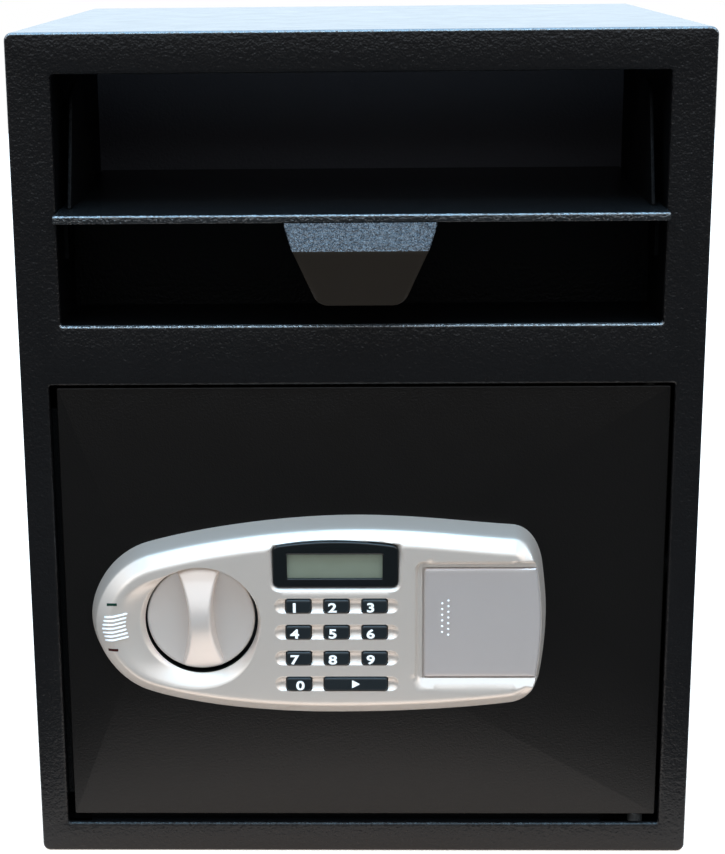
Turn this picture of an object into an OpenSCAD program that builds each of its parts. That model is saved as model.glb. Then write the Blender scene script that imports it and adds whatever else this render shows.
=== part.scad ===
// Drop safe with a tilting deposit hopper above a locked door.
// X runs right, Y runs back and Z runs up. The origin is the middle of the footprint, on the floor.

/* [Cabinet] */
// Width of the cabinet
body_w = 350; // [320:1:460]
// Height of the cabinet
body_h = 438; // [425:1:560]
// Depth of the cabinet without lock and handle
body_d = 330; // [290:1:450]
// Thickness of the wrapped body sheet
sheet_t = 2; // [1.2:0.1:3]
// Outer radius of the body's long edges
edge_r = 4; // [3.5:0.5:8]
// Thickness of the welded front frame
frame_t = 3; // [2:0.5:4]
// Height of the frame below the door
sill_h = 16.7; // [14:0.1:30]
// Width of the frame beside the door
jamb_w = 14.6; // [13:0.1:18]
// Height of the frame between door and window
mid_rail_h = 31.3; // [28:0.1:45]
// Height of the deposit window
window_h = 125.6; // [120:0.1:140]
// Width of the frame beside the window
stile_w = 22.2; // [20:0.1:40]
// Height of the frame above the window
top_rail_h = 20.5; // [18:0.1:40]
// Thickness of the felt mat on the floor
mat_t = 3; // [1:0.5:6]

/* [Fixing holes] */
// Diameter of the fixing holes in floor and back
anchor_d = 10; // [6:0.5:14]
// Sideways distance between the floor holes
floor_span_x = 220; // [120:5:260]
// Front to back distance between the floor holes
floor_span_y = 180; // [100:5:200]
// Sideways distance between the back holes
back_span_x = 220; // [120:5:260]
// Upright distance between the back holes
back_span_z = 140; // [80:5:160]
// Height of the lower back holes
back_low_z = 60; // [40:1:80]

/* [Hopper] */
// Thickness of the hopper sheet
tray_t = 2; // [1.5:0.1:3]
// Gap between the hopper plate and each side of the window
tray_gap = 0.8; // [0.5:0.1:2]
// How far the plate stands out of the window
tray_out = 18; // [12:0.5:22]
// Depth of the plate behind the front
tray_in = 184; // [170:1:190]
// Height of the folded front edge of the plate
tray_lip_h = 4.2; // [3:0.1:8]
// Height of the plate's top above the window sill
tray_z = 58.4; // [54:0.1:64]
// Distance of the pivot behind the front
pivot_y = 84; // [80:0.5:90]
// Distance of the pivot below the plate's top
pivot_drop = 15.3; // [14:0.1:20]
// Diameter of the pivot pins
pivot_d = 8; // [6:0.5:9]
// Height of the side cheeks above the plate
cheek_h = 60; // [30:1:62]
// Distance of the cheeks from the plate's ends
cheek_inset = 4; // [3:0.5:12]
// Thickness of the handle sheet
handle_t = 2.5; // [2:0.1:4]
// Width of the handle at its top
handle_w_top = 76; // [50:1:120]
// Width of the handle at its bend
handle_w_bend = 67; // [44:1:110]
// Width of the handle at its lower edge
handle_w_low = 43; // [30:1:90]
// Height of the handle from top to bend
handle_h_up = 12.5; // [8:0.5:16]
// Height of the handle from bend to lower edge
handle_h_low = 28.5; // [20:0.5:32]
// How far the bend stands forward of the handle's top
handle_reach = 13; // [8:0.5:14]

/* [Deposit chute] */
// Thickness of the chute sheets
chute_t = 2; // [1.2:0.1:3]
// Depth of the recess under the plate
recess_d = 64; // [50:1:65]
// Gap between the plate's back edge and the baffle
baffle_gap = 2; // [1.6:0.2:6]
// How far the baffle leans back at its lower end
baffle_lean = 44; // [20:1:50]
// How far the chute sides reach below the window sill
chute_drop = 14; // [6:1:24]

/* [Door] */
// Thickness of the door plate
door_t = 5; // [4:0.5:5.5]
// How far the door lies behind the front
door_recess = 3; // [2.5:0.1:3.2]
// Gap beside the door on the latch side
gap_latch = 3.4; // [2:0.1:5]
// Gap beside the door on the hinge side
gap_hinge = 1.6; // [1.2:0.1:3]
// Gap above the door
gap_top = 1.6; // [1:0.1:4]
// Gap below the door
gap_low = 4; // [1.5:0.1:5]
// Depth of the folded pan behind the door plate
pan_d = 22; // [21:0.5:30]
// Thickness of the pan and cover sheets
pan_t = 1.5; // [1:0.1:2]
// Diameter of the hinge pins
hinge_pin_d = 8; // [6:0.5:10]
// Distance of the hinge axis from the door's edge
hinge_in = 9.3; // [9:0.1:12]
// Height of each hinge lug on the door
lug_h = 21; // [14:0.5:30]

/* [Bolt work] */
// Diameter of the locking bolts
bolt_d = 12; // [8:0.5:12]
// Upright distance between the two bolts
bolt_span = 81; // [70:1:84]
// Travel of the bolts
bolt_travel = 14; // [12:0.5:15]
// Diameter of the knob's shaft
shaft_d = 10; // [7:0.5:11]
// Thickness of the sliding carriage
carriage_t = 3; // [2:0.1:3.5]
// Diameter of the cam's drive pin
cam_pin_d = 5; // [4:0.1:6]
// Diameter of the solenoid plunger
plunger_d = 6; // [4:0.5:6]
// Travel of the solenoid plunger
plunger_travel = 5; // [3:0.5:5]
// Diameter of the reset button
reset_d = 7; // [5:0.5:10]
// Travel of the reset button
reset_travel = 1.5; // [1:0.1:2]

/* [Lock housing] */
// Width of the lock housing
lock_w = 240.4; // [239:0.1:250]
// Height of the lock housing
lock_h = 108.6; // [107:0.1:118]
// Thickness of the lock housing
lock_t = 20; // [19:0.5:24]
// Height of the steep side of the housing
side_h = 13; // [10:0.5:14]
// How far the steep side leans in
side_lean = 3.5; // [2:0.1:4]
// How far the upper bevel runs in
bevel_run = 5.5; // [4:0.1:6]
// Wall of the housing's sides
lock_wall = 2; // [1.5:0.1:2.2]
// Wall of the housing's front
lock_front_wall = 4; // [3.6:0.1:4.2]
// Distance of the housing from the door's latch edge
lock_inset = 13.9; // [10:0.1:24]
// Height of the housing's middle above the door's lower edge
lock_rise = 115.6; // [112:0.1:122]

/* [Knob] */
// Diameter of the knob
knob_d = 57.6; // [54:0.1:58]
// Distance of the knob's axis from the housing's left end
knob_x = 59; // [58:0.1:61]
// Height of the knob's axis above the housing's middle
knob_z = 2.2; // [0:0.1:3]
// Depth of the knob's rim below the housing's face
knob_sink = 7; // [6:0.1:8]
// Height of the grip above the knob's rim
grip_h = 9; // [8:0.1:12]
// How far the grip's back falls towards its ends
grip_fall = 8; // [4:0.1:8]
// Width of the grip at its ends
grip_w_end = 23; // [18:0.1:26]
// Width of the grip at its waist
grip_w_mid = 11; // [8:0.1:16]

/* [Keys] */
// Width of a digit key
key_w = 13.6; // [10:0.1:15]
// Height of a key
key_h = 7.9; // [6:0.1:10]
// Sideways distance between keys
key_pitch_x = 19.8; // [18.5:0.1:20.5]
// Upright distance between key rows
key_pitch_z = 14.35; // [13:0.05:14.6]
// Distance of the middle key column from the housing's left end
keys_x = 130.1; // [129:0.1:131]
// Height of the top key row above the housing's middle
keys_z = 10.7; // [9:0.1:11]
// Travel of a key
key_travel = 1.2; // [0.6:0.1:1.2]
// How far a key stands above the housing's face
key_proud = 0.4; // [0.2:0.1:1.2]
// Height of the groove behind each key row
groove_h = 8.6; // [6:0.1:9]
// Depth of the groove behind each key row
groove_depth = 2; // [1:0.1:2]

/* [Display] */
// Width of the display frame
display_w = 65; // [58:0.1:66]
// Height of the display frame at its sides
display_h = 21.8; // [19:0.1:22]
// Rise of the arched top of the display frame
display_arch = 2.8; // [1:0.1:3]
// Height of the display's lower edge above the housing's middle
display_z = 21; // [20.8:0.1:21.5]
// Width of the display glass
glass_w = 50.2; // [40:0.1:52]
// Height of the display glass
glass_h = 14.2; // [10:0.1:15]

/* [Battery bay] */
// Width of the battery cover
cover_w = 61; // [60:0.1:64]
// Height of the battery cover
cover_h = 62; // [61.6:0.1:63]
// Thickness of the battery cover
cover_t = 1.8; // [1.2:0.1:2]
// Height of the cover's middle above the housing's middle
cover_z = 1.3; // [0:0.1:2]
// Depth of the sunk field round the cover
cover_sink = 2.5; // [1.5:0.1:2.6]
// Travel of the cover until it lifts off
cover_travel = 12; // [6:1:20]
// Diameter of a battery cell
cell_d = 14.2; // [13.5:0.1:14.2]
// Length of a battery cell
cell_l = 50.5; // [48:0.1:50.5]

/* [Hidden] */
$fn = 64;

// Colours
black_coat = [0.1, 0.1, 0.11];
door_coat = [0.09, 0.085, 0.085];
zinc = [0.72, 0.73, 0.75];
silver = [0.72, 0.71, 0.7];
key_black = [0.13, 0.15, 0.17];

// Clearances and small shared sizes
rest_gap = 0.3;
slide_gap = 0.3;
run_gap = 0.05;
cut = 1;

// Cabinet
front_y = -body_d / 2;
back_y = body_d / 2;
frame_back_y = front_y + frame_t;
inner_x = body_w / 2 - sheet_t;
ceiling_z = body_h - sheet_t;
opening_x = body_w / 2 - jamb_w;
window_x = body_w / 2 - stile_w;
window_top_z = body_h - top_rail_h;
window_sill_z = window_top_z - window_h;
opening_top_z = window_sill_z - mid_rail_h;
mat_edge = edge_r - sheet_t + 0.5;
mat_hole_d = anchor_d + 8;

// Hopper, in the same axes as the cabinet
tray_x = window_x - tray_gap;
plate_z = window_sill_z + tray_z;
plate_low_z = plate_z - tray_t;
plate_front_y = front_y - tray_out;
plate_back_y = front_y + tray_in;
axis_y = front_y + pivot_y;
axis_z = plate_z - pivot_drop;
ear_r = pivot_d / 2 + 8;
bush_wall = 2;
bush_flange = 1;
chute_x = tray_x + bush_flange + 0.2;
handle_top_z = plate_z - tray_lip_h;
handle_top_y = plate_front_y + handle_t;
handle_bend_z = handle_top_z - handle_h_up;
handle_bend_y = handle_top_y - handle_reach;
handle_low_z = handle_bend_z - handle_h_low;
handle_low_y = handle_bend_y + handle_reach - 3;
cheek_front_y = front_y + frame_t + 4;
cheek_base = 100;
cheek_slant = 50;
cheek_front_slant = 24;

// Chute
recess_y = front_y + recess_d;
recess_top_z = plate_low_z - 4;
baffle_y = plate_back_y + baffle_gap;
baffle_bend_z = plate_low_z - 4;
chute_low_z = window_sill_z - chute_drop;
bracket_l = 24;
bracket_w = 12;
bracket_h = 26;
bracket_front_y = front_y + 28;
pin_head_t = 4;

// Door
door_x0 = -opening_x + gap_latch;
door_x1 = opening_x - gap_hinge;
door_z0 = sill_h + gap_low;
door_z1 = opening_top_z - gap_top;
door_y = front_y + door_recess;
door_back_y = door_y + door_t;
hinge_x = door_x1 - hinge_in;
hinge_y = door_back_y + 5;
lug_half_y = 5;
lug_back = 7;
lug_inner = 9;
pan_x0 = door_x0 + 7;
pan_x1 = hinge_x - lug_inner - 3;
pan_z0 = door_z0 + 6.5;
pan_z1 = door_z1 - 8;
pan_back_y = door_back_y + pan_d;
pan_lip = 12;
cover_back_y = pan_back_y + pan_t;
cover_screw_in = 7;
bracket_gap = 4;
lug_low_z = door_z0 + 1;
lug_high_z = door_z1 - 1 - lug_h;

// Lock housing. Its own axes are X right, Y up and Z forward, from the door's face.
lock_x = door_x0 + lock_inset;
lock_z = door_z0 + lock_rise;
face_u = lock_t;
inside_u = lock_t - lock_front_wall;
outline_steps = 6;
slice_t = 0.4;
// Shares of the width and of half the height: start, two handles and end of each curve in turn
outline = [
    [0, -0.02], [0, 0.26], [0.046, 0.62],
    [0.125, 0.73], [0.25, 0.89], [0.437, 1],
    [0.582, 1], [0.707, 1], [0.811, 0.935],
    [0.923, 0.9], [0.957, 0.888], [0.98, 0.755],
    [0.989, 0.55], [0.994, 0.4], [1, 0.18],
    [1, 0], [1, -0.22], [0.995, -0.44],
    [0.988, -0.626], [0.982, -0.77], [0.961, -0.877],
    [0.923, -0.902], [0.811, -0.967], [0.666, -1],
    [0.532, -1], [0.395, -1], [0.229, -0.93],
    [0.125, -0.773], [0.05, -0.663], [0, -0.313]
];

// Knob
knob_gap = 0.5;
pocket_r = knob_d / 2 + knob_gap;
rim_u = face_u - knob_sink;
pocket_u = rim_u - 7;
pocket_floor = 2;
dish_ledge = 1;
dish_r = pocket_r + 5.2;
dish_shift = [-5, -3.5];
cup_wall = 6;
disc_dip = 2;
knob_axis_x = lock_x + knob_x;
knob_axis_z = lock_z + knob_z;

// Keys and board
board_u = 7;
board_t = 1.6;
board_x0 = keys_x - 35;
board_x1 = keys_x + 33;
board_z0 = keys_z - 3 * key_pitch_z - 8;
board_z1 = keys_z + 36;
mat_rubber_t = 1.4;
dome_h = 1;
key_base_u = board_u + board_t + mat_rubber_t + dome_h + key_travel + 0.2;
key_top_u = face_u + key_proud;
key_gap = 0.2;
key_r = 1.4;
key_flange = 0.8;
groove_r = (pow(groove_h / 2, 2) + pow(groove_depth, 2)) / (2 * groove_depth);
groove_half = key_pitch_x + key_w / 2 + 4.5;
wide_key_w = key_pitch_x + key_w + 0.3;
post_r = 2;
post_in = 3;
screw_spots = [[22, 20], [22, -20], [keys_x + 38.4, 38], [keys_x + 38.4, -38]];
boss_r = 3.6;
screw_d = 4;
screw_u = 11;

// Display
display_x = keys_x - 0.4;
display_back_u = inside_u + 1.4;
display_top_u = face_u + 0.6;
display_gap = 0.15;
module_side = 3;

// Battery bay
bay_x = keys_x + 45.3;
bay_floor_u = face_u - cover_sink;
bay_side = 4.6;
bay_low = 6;
bay_high = 3;
tray_wall = 1;
cell_pitch = cell_d + 0.1;
tray_floor = 1;
cell_u = tray_floor + 0.1 + cell_d / 2;
tray_inner_l = cell_l + 2.5;
tray_h = 4 * cell_pitch + 0.4;
tray_top_u = 13.5;

// Bolt work, behind the door plate
disc_y0 = door_back_y + 1.8;
disc_t = 3;
disc_r = 13;
cam_r = bolt_travel / sqrt(2);
carriage_y0 = disc_y0 + disc_t + 0.5;
carriage_y1 = carriage_y0 + carriage_t;
bolt_y = door_back_y + pan_d - pan_t - 0.5 - bolt_d / 2;
bolt_tip_x = pan_x0 - 1.5;
flange_x = bolt_tip_x + 29.5;
flange_t = 3;
flange_y1 = bolt_y + bolt_d / 2;
carriage_x1 = knob_axis_x + 28;
carriage_up = 55;
carriage_down = 62;
guide_up = 48;
guide_d = 6;
guide_x = [knob_axis_x - 28, knob_axis_x + 6];
guide_head_d = 10;
guide_head_t = 2;
slot_gap = 0.2;
plunger_x = knob_axis_x - 14;
plunger_y = (carriage_y0 + carriage_y1) / 2;
notch_h = plunger_travel + 1;
notch_mouth = 6;
carriage_low_z = knob_axis_z - carriage_down;
plunger_tip_z = carriage_low_z - 0.5;
solenoid_top_z = carriage_low_z - 13;
solenoid_h = 28;
solenoid_w = 20;
solenoid_wall = 1.5;
coil_r = 6.2;
collar_r = 4.5;
collar_t = 1.5;
collar_drop = 5;
reset_x = 60;
reset_z = pan_z0 + 34;
reset_proud = 2;
reset_l = 10;
keeper_t = 3;
keeper_d = 30;
stop_t = 2;
keeper_hole_d = bolt_d + 1.5;
keeper_z0 = pan_z0 + 4;
keeper_z1 = pan_z1 - 4;

// Shared shapes

// A flat shape in X and Z, made solid from one depth to another
module along_y(y0, y1) {
    translate([0, y1, 0]) rotate([90, 0, 0]) linear_extrude(y1 - y0) children();
}

// A flat shape in Y and Z, made solid from one side to another
module along_x(x0, x1) {
    translate([x0, 0, 0]) rotate([90, 0, 90]) linear_extrude(x1 - x0) children();
}

// The same piece on the right and on the left
module both_sides() {
    children();
    mirror([1, 0, 0]) children();
}

module rounded_rect(w, h, r) {
    union() {
        square([w - 2 * r, h], center = true);
        square([w, h - 2 * r], center = true);
        for (sx = [-1, 1], sy = [-1, 1])
            translate([sx * (w / 2 - r), sy * (h / 2 - r)]) circle(r);
    }
}

module block(low, high) {
    translate(low) cube(high - low);
}

// A round rod or hole along X, Y or Z
module rod_x(x0, x1, y, z, d) {
    translate([x0, y, z]) rotate([0, 90, 0]) cylinder(d = d, h = x1 - x0);
}

module rod_y(x, y0, y1, z, d) {
    translate([x, y0, z]) rotate([-90, 0, 0]) cylinder(d = d, h = y1 - y0);
}

module rod_z(x, y, z0, z1, d) {
    translate([x, y, z0]) cylinder(d = d, h = z1 - z0);
}

module in_lock_axes() {
    translate([lock_x, door_y, lock_z]) rotate([90, 0, 0]) children();
}

// Cabinet

module cabinet_shell() color(black_coat)
difference() {
    along_y(frame_back_y, back_y) difference() {
        translate([0, body_h / 2]) rounded_rect(body_w, body_h, edge_r);
        translate([0, body_h / 2])
            rounded_rect(body_w - 2 * sheet_t, body_h - 2 * sheet_t, edge_r - sheet_t);
    }
    for (sx = [-1, 1], sy = [-1, 1])
        rod_z(sx * floor_span_x / 2, sy * floor_span_y / 2, -cut, sheet_t + cut, anchor_d);
}

module front_frame() color(black_coat)
along_y(front_y, frame_back_y) difference() {
    translate([0, body_h / 2]) rounded_rect(body_w, body_h, edge_r);
    translate([-window_x, window_sill_z]) square([2 * window_x, window_h]);
    translate([-opening_x, sill_h]) square([2 * opening_x, opening_top_z - sill_h]);
}

module back_panel() color(black_coat)
difference() {
    along_y(back_y - sheet_t, back_y) translate([0, body_h / 2])
        rounded_rect(body_w - 2 * sheet_t, body_h - 2 * sheet_t, edge_r - sheet_t);
    for (sx = [-1, 1], up = [0, 1])
        rod_y(sx * back_span_x / 2, back_y - sheet_t - cut, back_y + cut, back_low_z + up * back_span_z, anchor_d);
}

module floor_mat() color([0.2, 0.2, 0.22])
difference() {
    block([-inner_x + mat_edge, cover_back_y + 6, sheet_t],
          [inner_x - mat_edge, back_y - sheet_t - mat_edge, sheet_t + mat_t]);
    for (sx = [-1, 1], sy = [-1, 1])
        rod_z(sx * floor_span_x / 2, sy * floor_span_y / 2, sheet_t - cut, sheet_t + mat_t + cut, mat_hole_d);
}

// Deposit chute, fixed inside the cabinet behind the window

module chute_side_outline() {
    polygon([
        [frame_back_y, ceiling_z], [baffle_y + chute_t, ceiling_z],
        [baffle_y + chute_t, baffle_bend_z], [baffle_y + chute_t + baffle_lean, chute_low_z],
        [recess_y - chute_t, chute_low_z], [recess_y - chute_t, window_sill_z - chute_t],
        [frame_back_y, window_sill_z - chute_t]
    ]);
}

module chute_sides() color(black_coat)
both_sides() difference() {
    along_x(chute_x, chute_x + chute_t) chute_side_outline();
    rod_x(chute_x - cut, chute_x + chute_t + cut, axis_y, axis_z, pivot_d + 2 * run_gap);
}

module recess_tray() color(black_coat)
along_x(-chute_x, chute_x) polygon([
    [frame_back_y, window_sill_z], [recess_y - chute_t, window_sill_z],
    [recess_y - chute_t, recess_top_z], [recess_y, recess_top_z],
    [recess_y, window_sill_z - chute_t], [frame_back_y, window_sill_z - chute_t]
]);

module chute_baffle() color(black_coat)
along_x(-chute_x, chute_x) polygon([
    [baffle_y, ceiling_z], [baffle_y + chute_t, ceiling_z],
    [baffle_y + chute_t, baffle_bend_z], [baffle_y + chute_t + baffle_lean, chute_low_z],
    [baffle_y + baffle_lean, chute_low_z], [baffle_y, baffle_bend_z]
]);

module rest_brackets() color(zinc)
both_sides() union() {
    block([chute_x - bracket_w, bracket_front_y, plate_low_z - rest_gap - chute_t],
          [chute_x, bracket_front_y + bracket_l, plate_low_z - rest_gap]);
    block([chute_x - chute_t, bracket_front_y, plate_low_z - rest_gap - bracket_h],
          [chute_x, bracket_front_y + bracket_l, plate_low_z - rest_gap]);
}

module pivot_pins() color(zinc)
both_sides() union() {
    rod_x(tray_x - tray_t - 3, chute_x + chute_t, axis_y, axis_z, pivot_d);
    rod_x(chute_x + chute_t, chute_x + chute_t + pin_head_t, axis_y, axis_z, pivot_d + 6);
}

// Hopper, which tilts about the pivot pins

module hopper_plate() color(black_coat)
along_x(-tray_x, tray_x) polygon([
    [plate_front_y, plate_z], [plate_back_y, plate_z], [plate_back_y, plate_low_z],
    [plate_front_y + tray_t, plate_low_z], [plate_front_y + tray_t, plate_z - tray_lip_h],
    [plate_front_y, plate_z - tray_lip_h]
]);

module hopper_ears() color(black_coat)
both_sides() along_x(tray_x - tray_t, tray_x) difference() {
    union() {
        translate([axis_y, axis_z]) circle(ear_r);
        translate([axis_y - ear_r, axis_z]) square([2 * ear_r, plate_low_z - axis_z]);
    }
    translate([axis_y, axis_z]) circle(d = pivot_d + 2 * bush_wall);
}

module hopper_cheeks() color(black_coat)
both_sides() along_x(tray_x - cheek_inset - tray_t, tray_x - cheek_inset) polygon([
    [cheek_front_y, plate_z], [cheek_front_y + cheek_base, plate_z],
    [cheek_front_y + cheek_base - cheek_slant, plate_z + cheek_h],
    [cheek_front_y + cheek_front_slant, plate_z + cheek_h]
]);

module pivot_bushes() color([0.85, 0.84, 0.8])
both_sides() difference() {
    union() {
        rod_x(tray_x - tray_t, tray_x, axis_y, axis_z, pivot_d + 2 * bush_wall);
        rod_x(tray_x, tray_x + bush_flange, axis_y, axis_z, pivot_d + 2 * bush_wall + 4);
    }
    rod_x(tray_x - tray_t - cut, tray_x + bush_flange + cut, axis_y, axis_z, pivot_d + 2 * run_gap);
}

// The handle is a tapered tab, bent forward and back again
module pull_handle() color(black_coat)
intersection() {
    along_x(-handle_w_top, handle_w_top) polygon([
        [handle_top_y - handle_t, handle_top_z], [handle_top_y, handle_top_z],
        [handle_bend_y + handle_t * 1.3, handle_bend_z],
        [handle_low_y + handle_t, handle_low_z], [handle_low_y, handle_low_z],
        [handle_bend_y, handle_bend_z]
    ]);
    along_y(handle_bend_y - cut, handle_top_y + cut + handle_t) handle_outline();
}

// Arc points of a rounded corner, from one angle to another
function arc_points(c, r, a0, a1, n = 6) =
    [for (i = [0:n]) c + r * [cos(a0 + (a1 - a0) * i / n), sin(a0 + (a1 - a0) * i / n)]];

module handle_outline() {
    r = 5;
    low = handle_w_low / 2;
    lean = atan2(handle_w_bend / 2 - low, handle_h_low);
    corner = [low - r * (1 - sin(lean)) / cos(lean), handle_low_z + r];
    right = concat(
        arc_points(corner, r, -90, -lean),
        [[handle_w_bend / 2, handle_bend_z], [handle_w_top / 2, handle_top_z]]
    );
    left = [for (i = [len(right) - 1:-1:0]) [-right[i][0], right[i][1]]];
    polygon(concat(right, left));
}

// Frame fittings behind the door opening

module latch_keeper() color(black_coat)
difference() {
    union() {
        block([-opening_x - keeper_t, frame_back_y, keeper_z0], [-opening_x, frame_back_y + keeper_d, keeper_z1]);
        block([-opening_x - keeper_t, door_back_y + rest_gap, keeper_z0],
              [pan_x0 - 3, door_back_y + rest_gap + stop_t, keeper_z1]);
    }
    for (s = [-1, 1])
        rod_x(-opening_x - keeper_t - cut, -opening_x + cut, bolt_y, knob_axis_z + s * bolt_span / 2, keeper_hole_d);
}

// Angles above and below the door, which the plate closes against
module door_stops() color(black_coat)
along_x(pan_x0 + 2, pan_x1 - 8) {
    polygon([
        [frame_back_y, opening_top_z], [door_back_y + rest_gap, opening_top_z],
        [door_back_y + rest_gap, pan_z1 + 2], [door_back_y + rest_gap + stop_t, pan_z1 + 2],
        [door_back_y + rest_gap + stop_t, opening_top_z + stop_t], [frame_back_y, opening_top_z + stop_t]
    ]);
    polygon([
        [frame_back_y, sill_h], [door_back_y + rest_gap, sill_h],
        [door_back_y + rest_gap, pan_z0 - 2], [door_back_y + rest_gap + stop_t, pan_z0 - 2],
        [door_back_y + rest_gap + stop_t, sill_h - stop_t], [frame_back_y, sill_h - stop_t]
    ]);
}

module hinge_brackets() color(black_coat)
difference() {
    union() {
        block([hinge_x - lug_inner, frame_back_y, opening_top_z + stop_t],
              [inner_x, hinge_y + lug_half_y + 5, opening_top_z + stop_t + 6]);
        block([hinge_x - lug_inner, frame_back_y, edge_r], [inner_x, hinge_y + lug_half_y + 5, sill_h - bracket_gap]);
    }
    rod_z(hinge_x, hinge_y, opening_top_z, opening_top_z + stop_t + 6 + cut, hinge_pin_d + 2 * run_gap);
    rod_z(hinge_x, hinge_y, edge_r + 1, sill_h, hinge_pin_d + 2 * run_gap);
}

module hinge_pins() color(zinc)
union() {
    rod_z(hinge_x, hinge_y, lug_high_z + 2, opening_top_z + stop_t + 6, hinge_pin_d);
    rod_z(hinge_x, hinge_y, edge_r + 1, lug_low_z + lug_h - 2, hinge_pin_d);
}

// Door

module door_plate() color(door_coat)
difference() {
    block([door_x0, door_y, door_z0], [door_x1, door_back_y, door_z1]);
    rod_y(knob_axis_x, door_y - cut, door_back_y + cut, knob_axis_z, shaft_d + 4);
    for (s = screw_spots)
        rod_y(lock_x + s[0], door_y - cut, door_back_y + cut, lock_z + s[1], screw_d + 0.4);
}

module door_pan() color(door_coat)
difference() {
    block([pan_x0, door_back_y, pan_z0], [pan_x1, pan_back_y, pan_z1]);
    block([pan_x0 + pan_t, door_back_y - cut, pan_z0 + pan_t], [pan_x1 - pan_t, pan_back_y - pan_t, pan_z1 - pan_t]);
    block([pan_x0 + pan_lip, door_back_y, pan_z0 + pan_lip], [pan_x1 - pan_lip, pan_back_y + cut, pan_z1 - pan_lip]);
    for (s = [-1, 1])
        rod_x(pan_x0 - cut, pan_x0 + pan_t + cut, bolt_y, knob_axis_z + s * bolt_span / 2, bolt_d + 2 * slide_gap);
    for (p = cover_screw_points())
        rod_y(p[0], pan_back_y - pan_t - cut, pan_back_y + cut, p[1], screw_d);
}

function cover_screw_points() = [
    for (x = [pan_x0 + cover_screw_in, pan_x1 - cover_screw_in], z = [pan_z0 + cover_screw_in, pan_z1 - cover_screw_in])
        [x, z]
];

module back_cover() color(door_coat)
difference() {
    block([pan_x0, pan_back_y, pan_z0], [pan_x1, cover_back_y, pan_z1]);
    rod_y(reset_x, pan_back_y - cut, cover_back_y + cut, reset_z, reset_d + 2 * slide_gap);
    for (p = cover_screw_points())
        rod_y(p[0], pan_back_y - cut, cover_back_y + cut, p[1], screw_d + 0.4);
}

module cover_screws() color(zinc)
for (p = cover_screw_points()) union() {
    rod_y(p[0], pan_back_y - 4, cover_back_y, p[1], screw_d);
    rod_y(p[0], cover_back_y, cover_back_y + 2, p[1], 2 * screw_d);
}

module hinge_lugs() color(black_coat)
difference() {
    for (z = [lug_low_z, lug_high_z])
        block([hinge_x - lug_inner, door_back_y, z], [hinge_x + lug_back, hinge_y + lug_back, z + lug_h]);
    for (z = [lug_low_z, lug_high_z])
        rod_z(hinge_x, hinge_y, z - cut, z + lug_h + cut, hinge_pin_d + 2 * run_gap);
}

// Lock housing

function bezier(a, b, c, d, t) =
    pow(1 - t, 3) * a + 3 * pow(1 - t, 2) * t * b + 3 * (1 - t) * t * t * c + pow(t, 3) * d;

function outline_points() = [
    for (i = [0:3:len(outline) - 1], k = [0:outline_steps - 1])
        let (p = bezier(outline[i], outline[i + 1], outline[i + 2], outline[(i + 3) % len(outline)], k / outline_steps))
            [p[0] * lock_w, p[1] * lock_h / 2]
];

module housing_slice(inset, u, t) {
    translate([0, 0, u - t]) linear_extrude(t) offset(delta = -inset) polygon(outline_points());
}

// The housing's outer form, drawn in or swollen by one wall, up to a given height
module housing_form(inset, base_u, top_u) {
    hull() {
        housing_slice(inset, base_u + slice_t, slice_t);
        housing_slice(inset + side_lean, side_h, slice_t);
        housing_slice(inset + side_lean + bevel_run, top_u, slice_t);
    }
}

module key_grooves() {
    for (row = [0:3])
        translate([keys_x, keys_z - row * key_pitch_z, face_u + groove_r - groove_depth])
            rotate([0, 90, 0]) cylinder(r = groove_r, h = 2 * groove_half, center = true);
}

function key_spot(name) =
    name == 0 ? [keys_x - key_pitch_x, keys_z - 3 * key_pitch_z] :
    name == 10 ? [keys_x + key_pitch_x / 2, keys_z - 3 * key_pitch_z] :
    [keys_x + ((name - 1) % 3 - 1) * key_pitch_x, keys_z - floor((name - 1) / 3) * key_pitch_z];

function key_width(name) = name == 10 ? wide_key_w : key_w;

module display_outline(gap) {
    arch_r = (pow(display_w / 2, 2) + pow(display_arch, 2)) / (2 * display_arch);
    intersection() {
        translate([display_x, display_z + (display_h + display_arch) / 2])
            rounded_rect(display_w + 2 * gap, display_h + display_arch + 2 * gap, 2.5 + gap);
        translate([display_x, display_z + display_h + display_arch - arch_r]) circle(arch_r + gap, $fn = 240);
    }
}

module mark_block(side) {
    mark_z = side * 12.7 - 0.9;
    block([10.6, mark_z - 0.5, face_u - 3], [15.8, mark_z + 0.5, face_u + 1]);
}

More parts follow.
